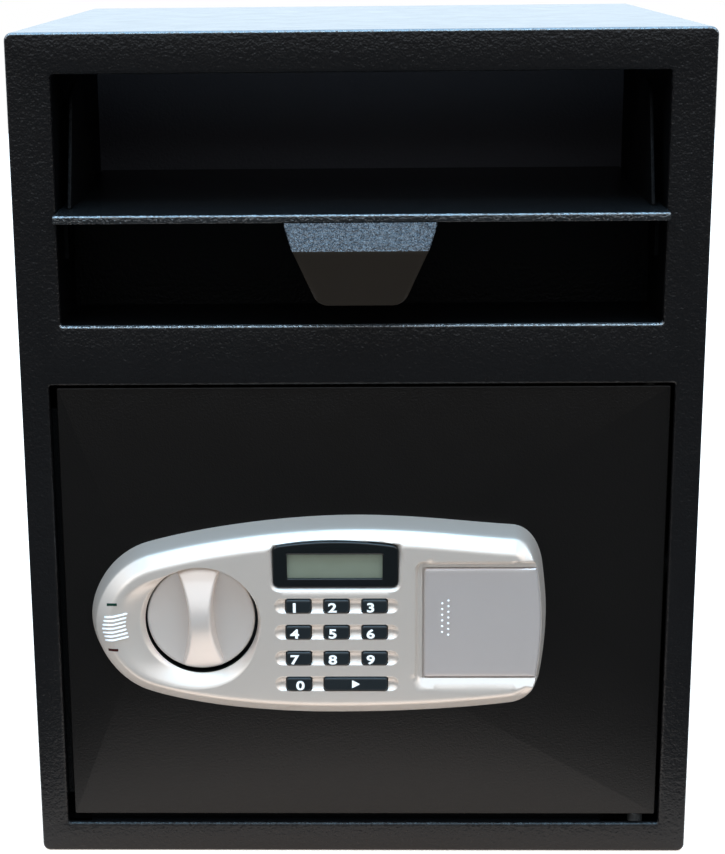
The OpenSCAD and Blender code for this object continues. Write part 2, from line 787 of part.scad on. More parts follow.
module lock_housing() color(silver)
in_lock_axes() difference() {
    union() {
        difference() {
            housing_form(0, 0, face_u);
            housing_form(lock_wall, -cut, inside_u);
        }
        intersection() {
            housing_form(0.2, 0, face_u - 0.2);
            union() {
                translate([knob_x, knob_z, pocket_u - pocket_floor])
                    cylinder(r = pocket_r + cup_wall, h = face_u);
                for (s = screw_spots) translate([s[0], s[1], 0]) cylinder(r = boss_r, h = inside_u + cut);
                for (x = [board_x0 + post_in, board_x1 - post_in], z = [board_z0 + post_in, board_z1 - post_in])
                    translate([x, z, board_u + board_t]) cylinder(r = post_r, h = inside_u - board_u);
            }
        }
    }
    translate([knob_x, knob_z, pocket_u]) cylinder(r = pocket_r, h = face_u);
    translate([knob_x, knob_z, 0]) cylinder(d = shaft_d + 1, h = face_u);
    hull() {
        translate([knob_x, knob_z, rim_u]) cylinder(r = pocket_r + dish_ledge, h = slice_t, $fn = 40);
        translate([knob_x + dish_shift[0], knob_z + dish_shift[1], face_u]) cylinder(r = dish_r, h = slice_t, $fn = 40);
    }
    key_grooves();
    for (name = [0:10]) translate([key_spot(name)[0], key_spot(name)[1], inside_u - cut])
        linear_extrude(face_u) rounded_rect(key_width(name) + 2 * key_gap, key_h + 2 * key_gap, key_r + key_gap);
    translate([0, 0, inside_u - cut]) linear_extrude(face_u) display_outline(display_gap);
    for (s = screw_spots) translate([s[0], s[1], -cut]) cylinder(d = screw_d, h = screw_u + 1 + cut);
    for (side = [-1, 1]) mark_block(side);
    bay_cut();
}

// Sunk field round the battery cover, and the bay under the cover
module bay_cut() {
    low = cover_z - cover_h / 2;
    high = cover_z + cover_h / 2;
    translate([bay_x, 0, 0]) rotate([90, 0, 90]) linear_extrude(lock_w) polygon([
        [low - slide_gap, bay_floor_u], [high + slide_gap, bay_floor_u],
        [high + bay_high, face_u + cut], [low - bay_low, face_u + cut]
    ]);
    translate([0, high + bay_high, 0]) rotate([90, 0, 0]) linear_extrude(cover_h + bay_low + bay_high) polygon([
        [bay_x - slide_gap, bay_floor_u], [bay_x + cut, bay_floor_u],
        [bay_x + cut, face_u + cut], [bay_x - bay_side, face_u + cut]
    ]);
    block([bay_x - slide_gap, low - slide_gap, bay_floor_u - cover_t - 0.1], [lock_w + cut, high + slide_gap, face_u + cut]);
    block([bay_x + 1.5, low + 1, inside_u - cut], [bay_x + 1 + tray_inner_l, high - 1, face_u]);
}

module open_mark() color([0.1, 0.35, 0.22])
in_lock_axes() intersection() {
    mark_block(1);
    housing_form(-0.05, 0, face_u + 0.15);
}

module shut_mark() color([0.45, 0.08, 0.06])
in_lock_axes() intersection() {
    mark_block(-1);
    housing_form(-0.05, 0, face_u + 0.15);
}

module housing_screws() color(zinc)
for (s = screw_spots) union() {
    rod_y(lock_x + s[0], door_y - screw_u, door_back_y, lock_z + s[1], screw_d);
    rod_y(lock_x + s[0], door_back_y, door_back_y + 2.4, lock_z + s[1], 2 * screw_d);
}

module circuit_board() color([0.1, 0.35, 0.18])
in_lock_axes() block([board_x0, board_z0, board_u], [board_x1, board_z1, board_u + board_t]);

module key_mat() color([0.3, 0.3, 0.32])
in_lock_axes() union() {
    block([keys_x - key_pitch_x - key_w / 2 - 1, board_z0 + 2.5, board_u + board_t],
          [keys_x + key_pitch_x + key_w / 2 + 1, keys_z + key_h / 2 + 2, board_u + board_t + mat_rubber_t]);
    for (name = [0:10]) translate([key_spot(name)[0], key_spot(name)[1], board_u + board_t + mat_rubber_t - 0.5])
        cylinder(r = 3, h = dome_h + 0.5);
}

module key(name) color(key_black)
in_lock_axes() translate([key_spot(name)[0], key_spot(name)[1], 0]) union() {
    translate([0, 0, key_base_u]) linear_extrude(key_top_u - key_base_u) rounded_rect(key_width(name), key_h, key_r);
    translate([0, 0, inside_u - slide_gap - 1]) linear_extrude(1)
        rounded_rect(key_width(name) + 2 * key_flange, key_h + 2 * key_flange, key_r + key_flange);
}

module display_frame() color([0.05, 0.06, 0.06])
in_lock_axes() translate([0, 0, display_back_u]) linear_extrude(display_top_u - display_back_u) difference() {
    display_outline(0);
    translate([display_x, display_z + 4.9 + glass_h / 2]) square([glass_w, glass_h], center = true);
}

module display_module() color([0.45, 0.48, 0.42])
in_lock_axes() block(
    [display_x - glass_w / 2 - module_side, display_z + 4.9 - 2, board_u + board_t],
    [display_x + glass_w / 2 + module_side, display_z + 4.9 + glass_h + 1.2, display_back_u]);

module battery_tray() color(key_black)
in_lock_axes() difference() {
    block([bay_x - 0.6, cover_z - tray_h / 2 - tray_wall, 0],
          [bay_x - 0.6 + tray_inner_l + 2 * tray_wall, cover_z + tray_h / 2 + tray_wall, tray_top_u]);
    block([bay_x - 0.6 + tray_wall, cover_z - tray_h / 2, tray_floor],
          [bay_x - 0.6 + tray_wall + tray_inner_l, cover_z + tray_h / 2, tray_top_u + cut]);
}

module battery_cells() color([0.75, 0.6, 0.3])
in_lock_axes() for (i = [0:3]) {
    x0 = bay_x + tray_wall;
    z = cover_z + (i - 1.5) * cell_pitch;
    translate([x0, z, cell_u]) rotate([0, 90, 0]) union() {
        cylinder(d = cell_d, h = cell_l - 1);
        cylinder(d = 5, h = cell_l);
    }
}

module battery_contacts() color(zinc)
in_lock_axes() for (i = [0:3]) {
    z = cover_z + (i - 1.5) * cell_pitch;
    x_left = bay_x - 0.6 + tray_wall;
    x_right = bay_x - 0.6 + tray_wall + tray_inner_l;
    block([x_left, z - 5, cell_u - 4], [x_left + 0.4, z + 5, cell_u + 4]);
    block([x_right - 0.4, z - 5, cell_u - 4], [x_right, z + 5, cell_u + 4]);
}

module battery_cover() color(silver)
in_lock_axes() intersection() {
    block([bay_x, cover_z - cover_h / 2, bay_floor_u - cover_t], [bay_x + cover_w + 20, cover_z + cover_h / 2, bay_floor_u]);
    housing_form(0, 0, face_u);
}

// Bolt work

module shaft_bush() color([0.75, 0.6, 0.3])
difference() {
    union() {
        rod_y(knob_axis_x, door_y, door_back_y, knob_axis_z, shaft_d + 4);
        rod_y(knob_axis_x, door_back_y, door_back_y + 1.5, knob_axis_z, shaft_d + 8);
    }
    rod_y(knob_axis_x, door_y - cut, door_back_y + 1.5 + cut, knob_axis_z, shaft_d + 2 * run_gap);
}

// The knob is a dished disc with a waisted grip across it
module knob() color(silver)
in_lock_axes() translate([knob_x, knob_z, 0]) difference() {
    union() {
        difference() {
            translate([0, 0, pocket_u + 0.8]) cylinder(d = knob_d, h = rim_u - pocket_u - 0.8, $fn = 96);
            translate([0, 0, rim_u + dip_r() - disc_dip]) sphere(dip_r(), $fn = 360);
        }
        intersection() {
            translate([0, 0, pocket_u + 0.8]) cylinder(d = knob_d, h = rim_u - pocket_u + grip_h + cut, $fn = 96);
            translate([0, 0, pocket_u + 0.8]) linear_extrude(grip_h + knob_sink + 8) grip_outline();
            grip_profile();
        }
    }
    translate([0, 0, -cut]) cylinder(d = shaft_d, h = pocket_u + 5 + cut);
}

function dip_r() = (pow(knob_d / 2 - 1.2, 2) + pow(disc_dip, 2)) / (2 * disc_dip);

// Waisted outline, drawn in on both sides by an arc
module grip_outline() {
    sag = (grip_w_end - grip_w_mid) / 2;
    r = (pow(knob_d / 2, 2) + pow(sag, 2)) / (2 * sag);
    difference() {
        square([grip_w_end, knob_d], center = true);
        for (s = [-1, 1]) translate([s * (grip_w_mid / 2 + r), 0]) circle(r, $fn = 160);
    }
}

// Side view of the grip: an arched back that is highest in the middle
module grip_profile() {
    half = knob_d / 2;
    arch_r = (half * half + grip_fall * grip_fall) / (2 * grip_fall);
    rotate([90, 0, 90]) linear_extrude(2 * grip_w_end, center = true) intersection() {
        translate([-half - cut, 0]) square([2 * (half + cut), rim_u + grip_h + cut]);
        translate([0, rim_u + grip_h - arch_r]) circle(arch_r, $fn = 160);
    }
}

module knob_shaft() color(zinc)
rod_y(knob_axis_x, door_y - pocket_u - 5, disc_y0 + disc_t, knob_axis_z, shaft_d);

module cam_disc() color(zinc)
difference() {
    union() {
        rod_y(knob_axis_x, disc_y0, disc_y0 + disc_t, knob_axis_z, 2 * disc_r);
        rod_y(knob_axis_x + cam_r / sqrt(2), disc_y0 + disc_t, carriage_y1 + 1, knob_axis_z - cam_r / sqrt(2), cam_pin_d);
    }
    rod_y(knob_axis_x, disc_y0 - cut, disc_y0 + disc_t + 0.01, knob_axis_z, shaft_d);
}

// Plate with a slot for the cam pin, four guide slots, two notches for the plunger and a flange for the bolts
module bolt_carriage() color(zinc)
union() {
    along_y(carriage_y0, carriage_y1) difference() {
        translate([flange_x, carriage_low_z]) square([carriage_x1 - flange_x, carriage_up + carriage_down]);
        translate([knob_axis_x + cam_r / sqrt(2) - cam_pin_d / 2 - 0.5, knob_axis_z - cam_r - cam_pin_d / 2 - 0.5])
            square([cam_pin_d + 1, cam_r * (1 - 1 / sqrt(2)) + cam_pin_d + 1]);
        for (x = guide_x, s = [-1, 1])
            translate([x - guide_d / 2 - slot_gap, knob_axis_z + s * guide_up - guide_d / 2 - slot_gap])
                square([guide_d + 2 * slot_gap + bolt_travel, guide_d + 2 * slot_gap]);
        translate([plunger_x, carriage_low_z]) polygon([
            [-notch_mouth, -cut], [notch_mouth, -cut], [notch_mouth, 0],
            [plunger_d / 2 + slide_gap, notch_h], [-plunger_d / 2 - slide_gap, notch_h], [-notch_mouth, 0]
        ]);
        translate([plunger_x + bolt_travel - plunger_d / 2 - slide_gap, carriage_low_z - cut])
            square([plunger_d + 2 * slide_gap, notch_h + cut]);
    }
    block([flange_x, carriage_y0, knob_axis_z - bolt_span / 2 - bolt_d / 2 - 3],
          [flange_x + flange_t, flange_y1, knob_axis_z + bolt_span / 2 + bolt_d / 2 + 3]);
}

module lock_bolts() color([0.8, 0.81, 0.83])
for (s = [-1, 1])
    rod_x(bolt_tip_x, flange_x, bolt_y, knob_axis_z + s * bolt_span / 2, bolt_d);

module carriage_guides() color(zinc)
for (x = guide_x, s = [-1, 1]) union() {
    z = knob_axis_z + s * guide_up;
    rod_y(x, door_back_y, carriage_y0 - slide_gap, z, guide_head_d);
    rod_y(x, carriage_y0 - slide_gap, carriage_y1 + slide_gap, z, guide_d);
    rod_y(x, carriage_y1 + slide_gap, carriage_y1 + slide_gap + guide_head_t, z, guide_head_d);
}

module solenoid_frame() color(zinc)
difference() {
    block([plunger_x - solenoid_w / 2, door_back_y, solenoid_top_z - solenoid_h],
          [plunger_x + solenoid_w / 2, plunger_y + coil_r, solenoid_top_z]);
    block([plunger_x - solenoid_w / 2 + solenoid_wall, door_back_y + solenoid_wall, solenoid_top_z - solenoid_h + solenoid_wall],
          [plunger_x + solenoid_w / 2 - solenoid_wall, plunger_y + coil_r + cut, solenoid_top_z - solenoid_wall]);
    rod_z(plunger_x, plunger_y, solenoid_top_z - solenoid_wall - cut, solenoid_top_z + cut, plunger_d + 2 * slide_gap);
}

module solenoid_coil() color([0.7, 0.35, 0.15])
difference() {
    rod_z(plunger_x, plunger_y, solenoid_top_z - solenoid_h + solenoid_wall, solenoid_top_z - solenoid_wall, 2 * coil_r - 2);
    rod_z(plunger_x, plunger_y, solenoid_top_z - solenoid_h + 4, solenoid_top_z, plunger_d + 2 * slide_gap);
}

module solenoid_plunger() color(zinc)
union() {
    rod_z(plunger_x, plunger_y, solenoid_top_z - solenoid_h + 6, plunger_tip_z, plunger_d);
    rod_z(plunger_x, plunger_y, plunger_tip_z - collar_drop - collar_t, plunger_tip_z - collar_drop, 2 * collar_r);
}

module plunger_spring() color(zinc)
difference() {
    rod_z(plunger_x, plunger_y, solenoid_top_z, plunger_tip_z - collar_drop - collar_t - 0.1, plunger_d + 2.4);
    rod_z(plunger_x, plunger_y, solenoid_top_z - cut, plunger_tip_z, plunger_d + 0.8);
}

module reset_switch() color(key_black)
block([reset_x - 6, door_back_y, reset_z - 6],
      [reset_x + 6, cover_back_y + reset_proud - reset_l - reset_travel - 0.1, reset_z + 6]);

module reset_button() color([0.7, 0.1, 0.08])
union() {
    rod_y(reset_x, cover_back_y + reset_proud - reset_l, cover_back_y + reset_proud, reset_z, reset_d);
    rod_y(reset_x, pan_back_y - rest_gap - 1.2, pan_back_y - rest_gap, reset_z, reset_d + 3);
}

cabinet_shell();
front_frame();
back_panel();
floor_mat();
chute_sides();
recess_tray();
chute_baffle();
rest_brackets();
pivot_pins();
latch_keeper();
door_stops();
hinge_brackets();
hinge_pins();
hopper_plate();
hopper_ears();
hopper_cheeks();
pivot_bushes();
pull_handle();
door_plate();
door_pan();
back_cover();
cover_screws();
hinge_lugs();
lock_housing();
housing_screws();
circuit_board();
key_mat();
display_frame();
display_module();
open_mark();
shut_mark();
battery_tray();
battery_cells();
battery_contacts();
battery_cover();
shaft_bush();
carriage_guides();
solenoid_frame();
solenoid_coil();
plunger_spring();
reset_switch();
reset_button();
knob();
knob_shaft();
cam_disc();
bolt_carriage();
lock_bolts();
solenoid_plunger();
key(0);  // key_0
key(1);  // key_1
key(2);  // key_2
key(3);  // key_3
key(4);  // key_4
key(5);  // key_5
key(6);  // key_6
key(7);  // key_7
key(8);  // key_8
key(9);  // key_9
key(10);  // key_start
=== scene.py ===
"""Looks of the drop safe: a steel cabinet with a tilting deposit hopper above a door with a keypad lock."""
import math

import bpy
import numpy as np
from bpy.props import FloatProperty, FloatVectorProperty, PointerProperty
from mathutils import Matrix, Vector
from mathutils.geometry import delaunay_2d_cdt


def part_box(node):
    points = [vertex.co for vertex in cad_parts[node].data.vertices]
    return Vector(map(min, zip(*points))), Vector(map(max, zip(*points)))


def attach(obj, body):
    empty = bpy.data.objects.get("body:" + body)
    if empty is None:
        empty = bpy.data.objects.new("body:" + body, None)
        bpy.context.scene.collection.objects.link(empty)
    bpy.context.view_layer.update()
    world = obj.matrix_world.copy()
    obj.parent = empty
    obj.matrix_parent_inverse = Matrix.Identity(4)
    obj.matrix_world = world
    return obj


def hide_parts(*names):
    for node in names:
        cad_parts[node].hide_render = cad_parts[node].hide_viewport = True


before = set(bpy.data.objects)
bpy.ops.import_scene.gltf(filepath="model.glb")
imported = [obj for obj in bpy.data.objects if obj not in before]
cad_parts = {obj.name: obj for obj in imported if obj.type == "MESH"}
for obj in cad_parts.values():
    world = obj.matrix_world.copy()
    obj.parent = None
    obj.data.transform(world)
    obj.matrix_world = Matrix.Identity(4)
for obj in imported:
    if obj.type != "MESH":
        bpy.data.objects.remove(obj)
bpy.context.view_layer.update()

bl_info = {
    "name": "Drop safe",
    "version": (1, 0, 0),
    "blender": (4, 5, 0),
    "location": "View3D > Sidebar > Drop safe",
    "description": "Dresses the drop safe's solids: coated sheet steel, lock housing, knob, keys and stage",
    "category": "Object",
}

MM = 0.001
LOCK_LOW, LOCK_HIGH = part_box("lock_housing")
LOCK_PLACE = np.array([LOCK_LOW.x, (LOCK_LOW.z + LOCK_HIGH.z) / 2]) / MM


def spans(node):
    """Lowest and highest places of a CAD node along x, y and z, in mm."""
    return [(low / MM, high / MM) for low, high in zip(*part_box(node))]


# ---------------------------------------------------------------- sizes and colours


def length(name, text, value):
    """A size in metres, given here in mm."""
    return FloatProperty(name=name, description=text, default=value * MM, min=0, unit="LENGTH",
                         subtype="DISTANCE")


def colour(name, text, value):
    """A colour given as linear red, green and blue."""
    return FloatVectorProperty(name=name, description=text, default=value, size=3, min=0, max=1,
                               subtype="COLOR")


class DropSafeSheetSizes(bpy.types.PropertyGroup):
    frame_edge: length("Frame edge", "Rounding of the front frame's outer edge", 1.6)
    opening_edge: length("Opening edge", "Rounding of the edges of window and door opening", 1.9)
    plate_edge: length("Plate edge", "Rounding of the hopper plate's folded front", 0.9)
    sheet_edge: length("Sheet edge", "Rounding of cut sheet edges", 0.5)
    handle_bend: length("Handle bend", "Outer bending radius of the pull handle", 3.0)


class DropSafeLockSizes(bpy.types.PropertyGroup):
    side_height: length("Side height", "Height of the steep side of the housing", 13.0)
    side_lean: length("Side lean", "How far the steep side leans in", 3.5)
    bevel_run: length("Bevel run", "How far the upper bevel runs in", 6.8)
    pocket_radius: length("Knob pocket", "Radius of the hole that the knob turns in", 29.5)
    groove_width: length("Groove width", "Width of the sunk groove behind each key row", 7.8)
    groove_depth: length("Groove depth", "Depth of the sunk groove behind each key row", 2.0)
    display_chamfer: length("Display chamfer", "Width of the slope round the display frame", 1.8)
    field_depth: length("Field depth", "Depth of the sunk field round the battery cover", 3.1)
    rib_width: length("Rib width", "Width of the raised ribs beside the knob", 1.15)


class DropSafeKnobSizes(bpy.types.PropertyGroup):
    rim_round: length("Rim rounding", "Rounding of the knob's rim", 1.1)
    dip: length("Dip", "Depth of the hollow in the knob's disc", 2.0)
    grip_end: length("Grip end", "Width of the grip at its ends", 25.5)
    grip_waist: length("Grip waist", "Width of the grip at its waist", 11.0)
    grip_round: length("Grip rounding", "Rounding along the grip's upper edges", 1.7)


class DropSafeKeySizes(bpy.types.PropertyGroup):
    round_top: length("Key rounding", "Rounding of a key's edges", 0.6)
    digit_height: length("Digit height", "Height of the digits on the keys", 5.2)
    digit_bold: FloatProperty(name="Digit weight", description="How far the digits' strokes are thickened",
                              default=0.03, min=0, max=0.1)


class DropSafeColours(bpy.types.PropertyGroup):
    coat: colour("Cabinet coat", "Powder coat of the cabinet", (0.0024, 0.0021, 0.0023))
    door: colour("Door coat", "Finer powder coat of the door", (0.0026, 0.0019, 0.0015))
    silver: colour("Silver paint", "Metallic paint of the lock", (0.625, 0.545, 0.485))
    key: colour("Key", "Plastic of the keys", (0.006, 0.009, 0.011))
    digit: colour("Digit", "Print on the keys", (0.86, 0.87, 0.86))
    glass: colour("Display glass", "Empty display", (0.13, 0.145, 0.105))
    floor: colour("Floor", "Floor under the safe", (0.82, 0.66, 0.55))


# ---------------------------------------------------------------- flat shapes, in mm


def fillet(corners, radius, steps):
    """Closed outline with round corners: each becomes an arc of that radius (one value, or one each)."""
    p = np.asarray(corners, float)
    r = np.broadcast_to(np.asarray(radius, float), (len(p),))[:, None]
    back, on = np.roll(p, 1, 0) - p, np.roll(p, -1, 0) - p
    reach = np.minimum(np.linalg.norm(back, axis=1), np.linalg.norm(on, axis=1))[:, None] * 0.49
    back, on = unit(back), unit(on)
    half = np.arccos(np.clip((back * on).sum(1), -1, 1))[:, None] / 2
    cut = np.minimum(r / np.tan(half), reach)
    r = cut * np.tan(half)
    middle = p + unit(back + on) * r / np.sin(half)
    a, b = p + back * cut - middle, p + on * cut - middle
    t = np.linspace(0, 1, steps + 1)[None, :, None]
    whole = (np.pi - 2 * half)[:, :, None]
    arc = (np.sin((1 - t) * whole) * a[:, None] + np.sin(t * whole) * b[:, None]) / np.sin(whole)
    return (middle[:, None] + arc).reshape(-1, 2)


def unit(v):
    """Vectors in the same directions, each of length 1."""
    return v / np.maximum(np.linalg.norm(v, axis=-1, keepdims=True), 1e-12)


def inset(loop, distance):
    """Closed outline drawn in: each corner moves along the sum of its two inward normals."""
    side = np.roll(loop, -1, 0) - loop
    normal = unit(np.stack([-side[:, 1], side[:, 0]], 1))
    both = normal + np.roll(normal, 1, 0)
    return loop + distance * both * 2 / (both * both).sum(1, keepdims=True)


def box_outline(x0, x1, z0, z1):
    """Corners of a box, counter-clockwise."""
    return np.array([[x0, z0], [x1, z0], [x1, z1], [x0, z1]], float)


def circle(x, z, r, steps):
    """Points r (cos t, sin t) round a middle, counter-clockwise."""
    t = np.arange(steps) / steps * 2 * np.pi
    return np.stack([x + r * np.cos(t), z + r * np.sin(t)], 1)


def inside(points, loops):
    """Even-odd rule: true where a ray to the right crosses the loops' sides an odd number of times."""
    odd = np.zeros(len(points), bool)
    x, z = points[:, 0][:, None], points[:, 1][:, None]
    for loop in loops:
        a, b = loop, np.roll(loop, -1, 0)
        rise = np.where(b[:, 1] == a[:, 1], 1e-12, b[:, 1] - a[:, 1])
        for first in range(0, len(points), 20000):
            part = slice(first, first + 20000)
            crosses = (a[:, 1] > z[part]) != (b[:, 1] > z[part])
            at = a[:, 0] + (z[part] - a[:, 1]) * (b[:, 0] - a[:, 0]) / rise
            odd[part] ^= (crosses & (x[part] < at)).sum(1) % 2 == 1
    return odd


def triangles(points, loops):
    """Constrained Delaunay triangles between the points, kept where they lie inside the loops.
    The loops' own points come first in points, in order."""
    edges, first = [], 0
    for loop in loops:
        n = np.arange(len(loop)) + first
        edges.append(np.stack([n, np.roll(n, -1)], 1))
        first += len(loop)
    made = delaunay_2d_cdt([Vector(p) for p in points.tolist()], np.concatenate(edges).tolist(), [], 0, 1e-7)
    if len(made[0]) != len(points):
        raise RuntimeError("two outlines of a flat shape cross or touch")
    source = np.array([o[0] for o in made[3]])
    faces = source[np.array([f for f in made[2]], int)]
    faces = faces[inside(points[faces].mean(1), loops)]
    a, b, c = points[faces[:, 0]], points[faces[:, 1]], points[faces[:, 2]]
    turned = (b[:, 0] - a[:, 0]) * (c[:, 1] - a[:, 1]) - (b[:, 1] - a[:, 1]) * (c[:, 0] - a[:, 0]) < 0
    faces[turned] = faces[turned][:, ::-1]
    return faces


# ---------------------------------------------------------------- closed surfaces, in mm


def strip(a, b):
    """Quads between two closed rows of point numbers."""
    return np.stack([a, np.roll(a, -1), np.roll(b, -1), b], -1)


def strips(n, rows, first=0):
    """Quads between closed rows of n points each, numbered one row after another."""
    return [strip(np.arange(n) + first + k * n, np.arange(n) + first + (k + 1) * n) for k in range(rows - 1)]


def at_height(line, u):
    """Points of an outline set at a height over the door, or at one height each."""
    return np.column_stack([line, np.broadcast_to(u, len(line))])


def extruded(outline, low, high):
    """An outline carried straight out of the door."""
    return loft([at_height(outline, low), at_height(outline, high)])


def loft(rings):
    """Rings of equal length joined into a closed surface: quads between them and a face at each end."""
    rings = np.asarray(rings, float)
    m, n = rings.shape[:2]
    numbers = np.arange(m * n).reshape(m, n)
    return rings.reshape(-1, 3), [np.concatenate(strips(n, m)), numbers[:1, ::-1], numbers[-1:]]


def along_axis(outline, place, axis):
    """Points of an outline set at a place along x, y or z."""
    a, b = outline[..., 0], outline[..., 1]
    parts = {"x": (place + 0 * a, a, b), "y": (a, place + 0 * a, b), "z": (a, b, place + 0 * a)}[axis]
    return np.stack(parts, -1)


def quarter(radius, steps=5):
    """Places on a quarter circle at steps of an angle t, as pairs r(1 - cos t), r(1 - sin t)."""
    t = np.linspace(0, np.pi / 2, steps)
    return np.stack([radius * (1 - np.cos(t)), radius * (1 - np.sin(t))], 1)


def edge_steps(start, end, round_start, round_end):
    """(inset, place) pairs of an outline carried from start to end, both edges rounded by quarter circles."""
    way = 1 if end > start else -1
    first = [(draw, start + way * gone) for gone, draw in quarter(round_start)]
    last = [(draw, end - way * gone) for gone, draw in quarter(round_end)[::-1]]
    return (first if round_start else [(0, start)]) + (last if round_end else [(0, end)])


def bar(outline, start, end, axis, rounding):
    """An outline carried straight along an axis, its two ends rounded."""
    steps = edge_steps(start, end, rounding, rounding)
    return loft([along_axis(inset(outline, d), p, axis) for d, p in steps])


def plate(loops, start, end, axis, rounding):
    """A sheet with holes: every loop carried through the sheet with its own two edge roundings, the faces
    filled with triangles. The first loop runs counter-clockwise, holes clockwise."""
    points, faces, total, ends = [], [], 0, ([], [])
    for loop, (r0, r1) in zip(loops, rounding):
        steps = edge_steps(start, end, r0, r1)
        rows = [along_axis(inset(loop, d), p, axis) for d, p in steps]
        n = len(loop)
        faces += strips(n, len(rows), total)
        ends[0].append((inset(loop, steps[0][0]), total))
        ends[1].append((inset(loop, steps[-1][0]), total + (len(rows) - 1) * n))
        points += rows
        total += n * len(rows)
    for k, side in enumerate(ends):
        flat = np.concatenate([p for p, _ in side])
        numbers = np.concatenate([np.arange(len(p)) + first for p, first in side])
        found = numbers[triangles(flat, [p for p, _ in side])]
        faces.append(found if k else found[:, ::-1])
    return np.concatenate(points), faces


def lathe(profile, centre, steps):
    """A profile (distance from the axis, height) turned round an axis out of the door; its ends lie on it."""
    t = np.arange(steps) / steps * 2 * np.pi
    r, u = profile[1:-1, 0][:, None], profile[1:-1, 1][:, None]
    rows = np.stack([centre[0] + r * np.cos(t), centre[1] + r * np.sin(t), u + 0 * t], -1)
    points = np.concatenate([rows.reshape(-1, 3), [[*centre, profile[0, 1]], [*centre, profile[-1, 1]]]])
    n = np.arange(steps)
    faces = strips(steps, len(rows))
    low, high = len(points) - 2, len(points) - 1
    last = (len(rows) - 1) * steps
    faces.append(np.stack([np.roll(n, -1), n, np.full(steps, low)], -1))
    faces.append(np.stack([n + last, np.roll(n, -1) + last, np.full(steps, high)], -1))
    return points, faces


def volume(points, faces):
    """Signed volume: the sum of a . (b x c) / 6 over a fan of triangles in each face."""
    total = 0.0
    for group in faces:
        for k in range(1, group.shape[1] - 1):
            a, b, c = points[group[:, 0]], points[group[:, k]], points[group[:, k + 1]]
            total += (a * np.cross(b, c)).sum() / 6
    return total


def join(parts):
    """Several closed surfaces as one, each with its faces pointing outwards."""
    points, faces, first = [], [], 0
    for p, groups in parts:
        p = np.asarray(p, float)
        groups = [np.asarray(g, np.int64) for g in groups if len(g)]
        if volume(p - p.mean(0), groups) < 0:
            groups = [g[:, ::-1] for g in groups]
        faces += [g + first for g in groups]
        points.append(p)
        first += len(p)
    return np.concatenate(points), faces


def from_lock(part):
    """Lock axes (right, up, out of the door) turned into the frame's axes, in mm."""
    p, faces = part
    return np.stack([LOCK_PLACE[0] + p[:, 0], LOCK_HIGH.y / MM - p[:, 2], LOCK_PLACE[1] + p[:, 1]], 1), faces


def ride_along(name, mesh, body):
    """Links a mesh as an object that rides on a body."""
    piece = bpy.data.objects.new(name, mesh)
    bpy.context.scene.collection.objects.link(piece)
    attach(piece, body)
    return piece


def add_piece(name, parts, material, body, stands_for=(), crease=38, second=None, kinds=(),
              up=(-2, 2)):
    """Puts closed surfaces, in mm in the frame's axes, into one object that rides on a body. Faces of the
    given kinds whose normals point up by a share between two values have the second finish; the callers
    use it for painted light: a lighter or warmer copy of a finish on some faces, or a dark finish in a
    hollow."""
    points, faces = join(parts)
    sizes = np.concatenate([np.full(len(g), g.shape[1]) for g in faces])
    mesh = bpy.data.meshes.new(name)
    mesh.vertices.add(len(points))
    mesh.vertices.foreach_set("co", (points * MM).astype(np.float32).ravel())
    mesh.loops.add(int(sizes.sum()))
    mesh.loops.foreach_set("vertex_index", np.concatenate([g.ravel() for g in faces]).astype(np.int32))
    mesh.polygons.add(len(sizes))
    mesh.polygons.foreach_set("loop_start", np.concatenate([[0], np.cumsum(sizes)[:-1]]).astype(np.int32))
    mesh.update(calc_edges=True)
    if mesh.validate():
        raise RuntimeError(f"{name} has a broken face")
    mesh.shade_smooth()
    mesh.set_sharp_from_angle(angle=math.radians(crease))
    mesh.materials.append(material)
    if second:
        mesh.materials.append(second)
        which = np.concatenate([np.full(len(g), k in kinds) for k, g in enumerate(faces)])
        normals = np.empty(len(sizes) * 3)
        mesh.polygons.foreach_get("normal", normals)
        which &= (normals[2::3] > up[0]) & (normals[2::3] < up[1])
        mesh.polygons.foreach_set("material_index", which.astype(np.int32))
    piece = ride_along(name, mesh, body)
    if stands_for:
        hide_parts(*stands_for)


# ---------------------------------------------------------------- finishes


def feed(tree, socket, value):
    """Links a node's input to a socket, or sets it to a number or to a colour."""
    if isinstance(value, bpy.types.NodeSocket):
        tree.links.new(value, socket)
    else:
        socket.default_value = value if isinstance(value, (int, float)) else (*value, 1)


def shader_node(tree, kind, output, inputs, **settings):
    """A node with its settings, then its inputs, by name or number. Gives one of its outputs."""
    made = tree.nodes.new("ShaderNode" + kind)
    for name, value in settings.items():
        setattr(made, name, value)
    for name, value in inputs.items():
        feed(tree, made.inputs[name], value)
    return made.outputs[output]


def noise(tree, where, cell, detail=2):
    """Noise from 0 to 1 in waves of about one cell."""
    return shader_node(tree, "TexNoise", "Fac", {"Vector": where, "Scale": 1 / cell, "Detail": detail})


def cells(tree, where, cell):
    """Distance from the nearest of scattered points about a cell apart, soft where they meet."""
    inputs = {"Vector": where, "Scale": 1 / cell, "Smoothness": 0.6}
    return shader_node(tree, "TexVoronoi", "Distance", inputs, feature="SMOOTH_F1")


def blend(tree, factor, a, b):
    """Mixes two colours, each a socket or a fixed colour."""
    return shader_node(tree, "Mix", "Result", {"Factor": factor, "A": a, "B": b}, data_type="RGBA")


def soft_range(tree, value, low, high):
    """0 below the low value, 1 above the high one and smooth between."""
    return shader_node(tree, "MapRange", "Result", {"Value": value, "From Min": low, "From Max": high},
                       interpolation_type="SMOOTHSTEP")


def maths(tree, operation, a, b):
    """One operation on two values, each a socket or a fixed number."""
    return shader_node(tree, "Math", 0, {0: a, 1: b}, operation=operation)


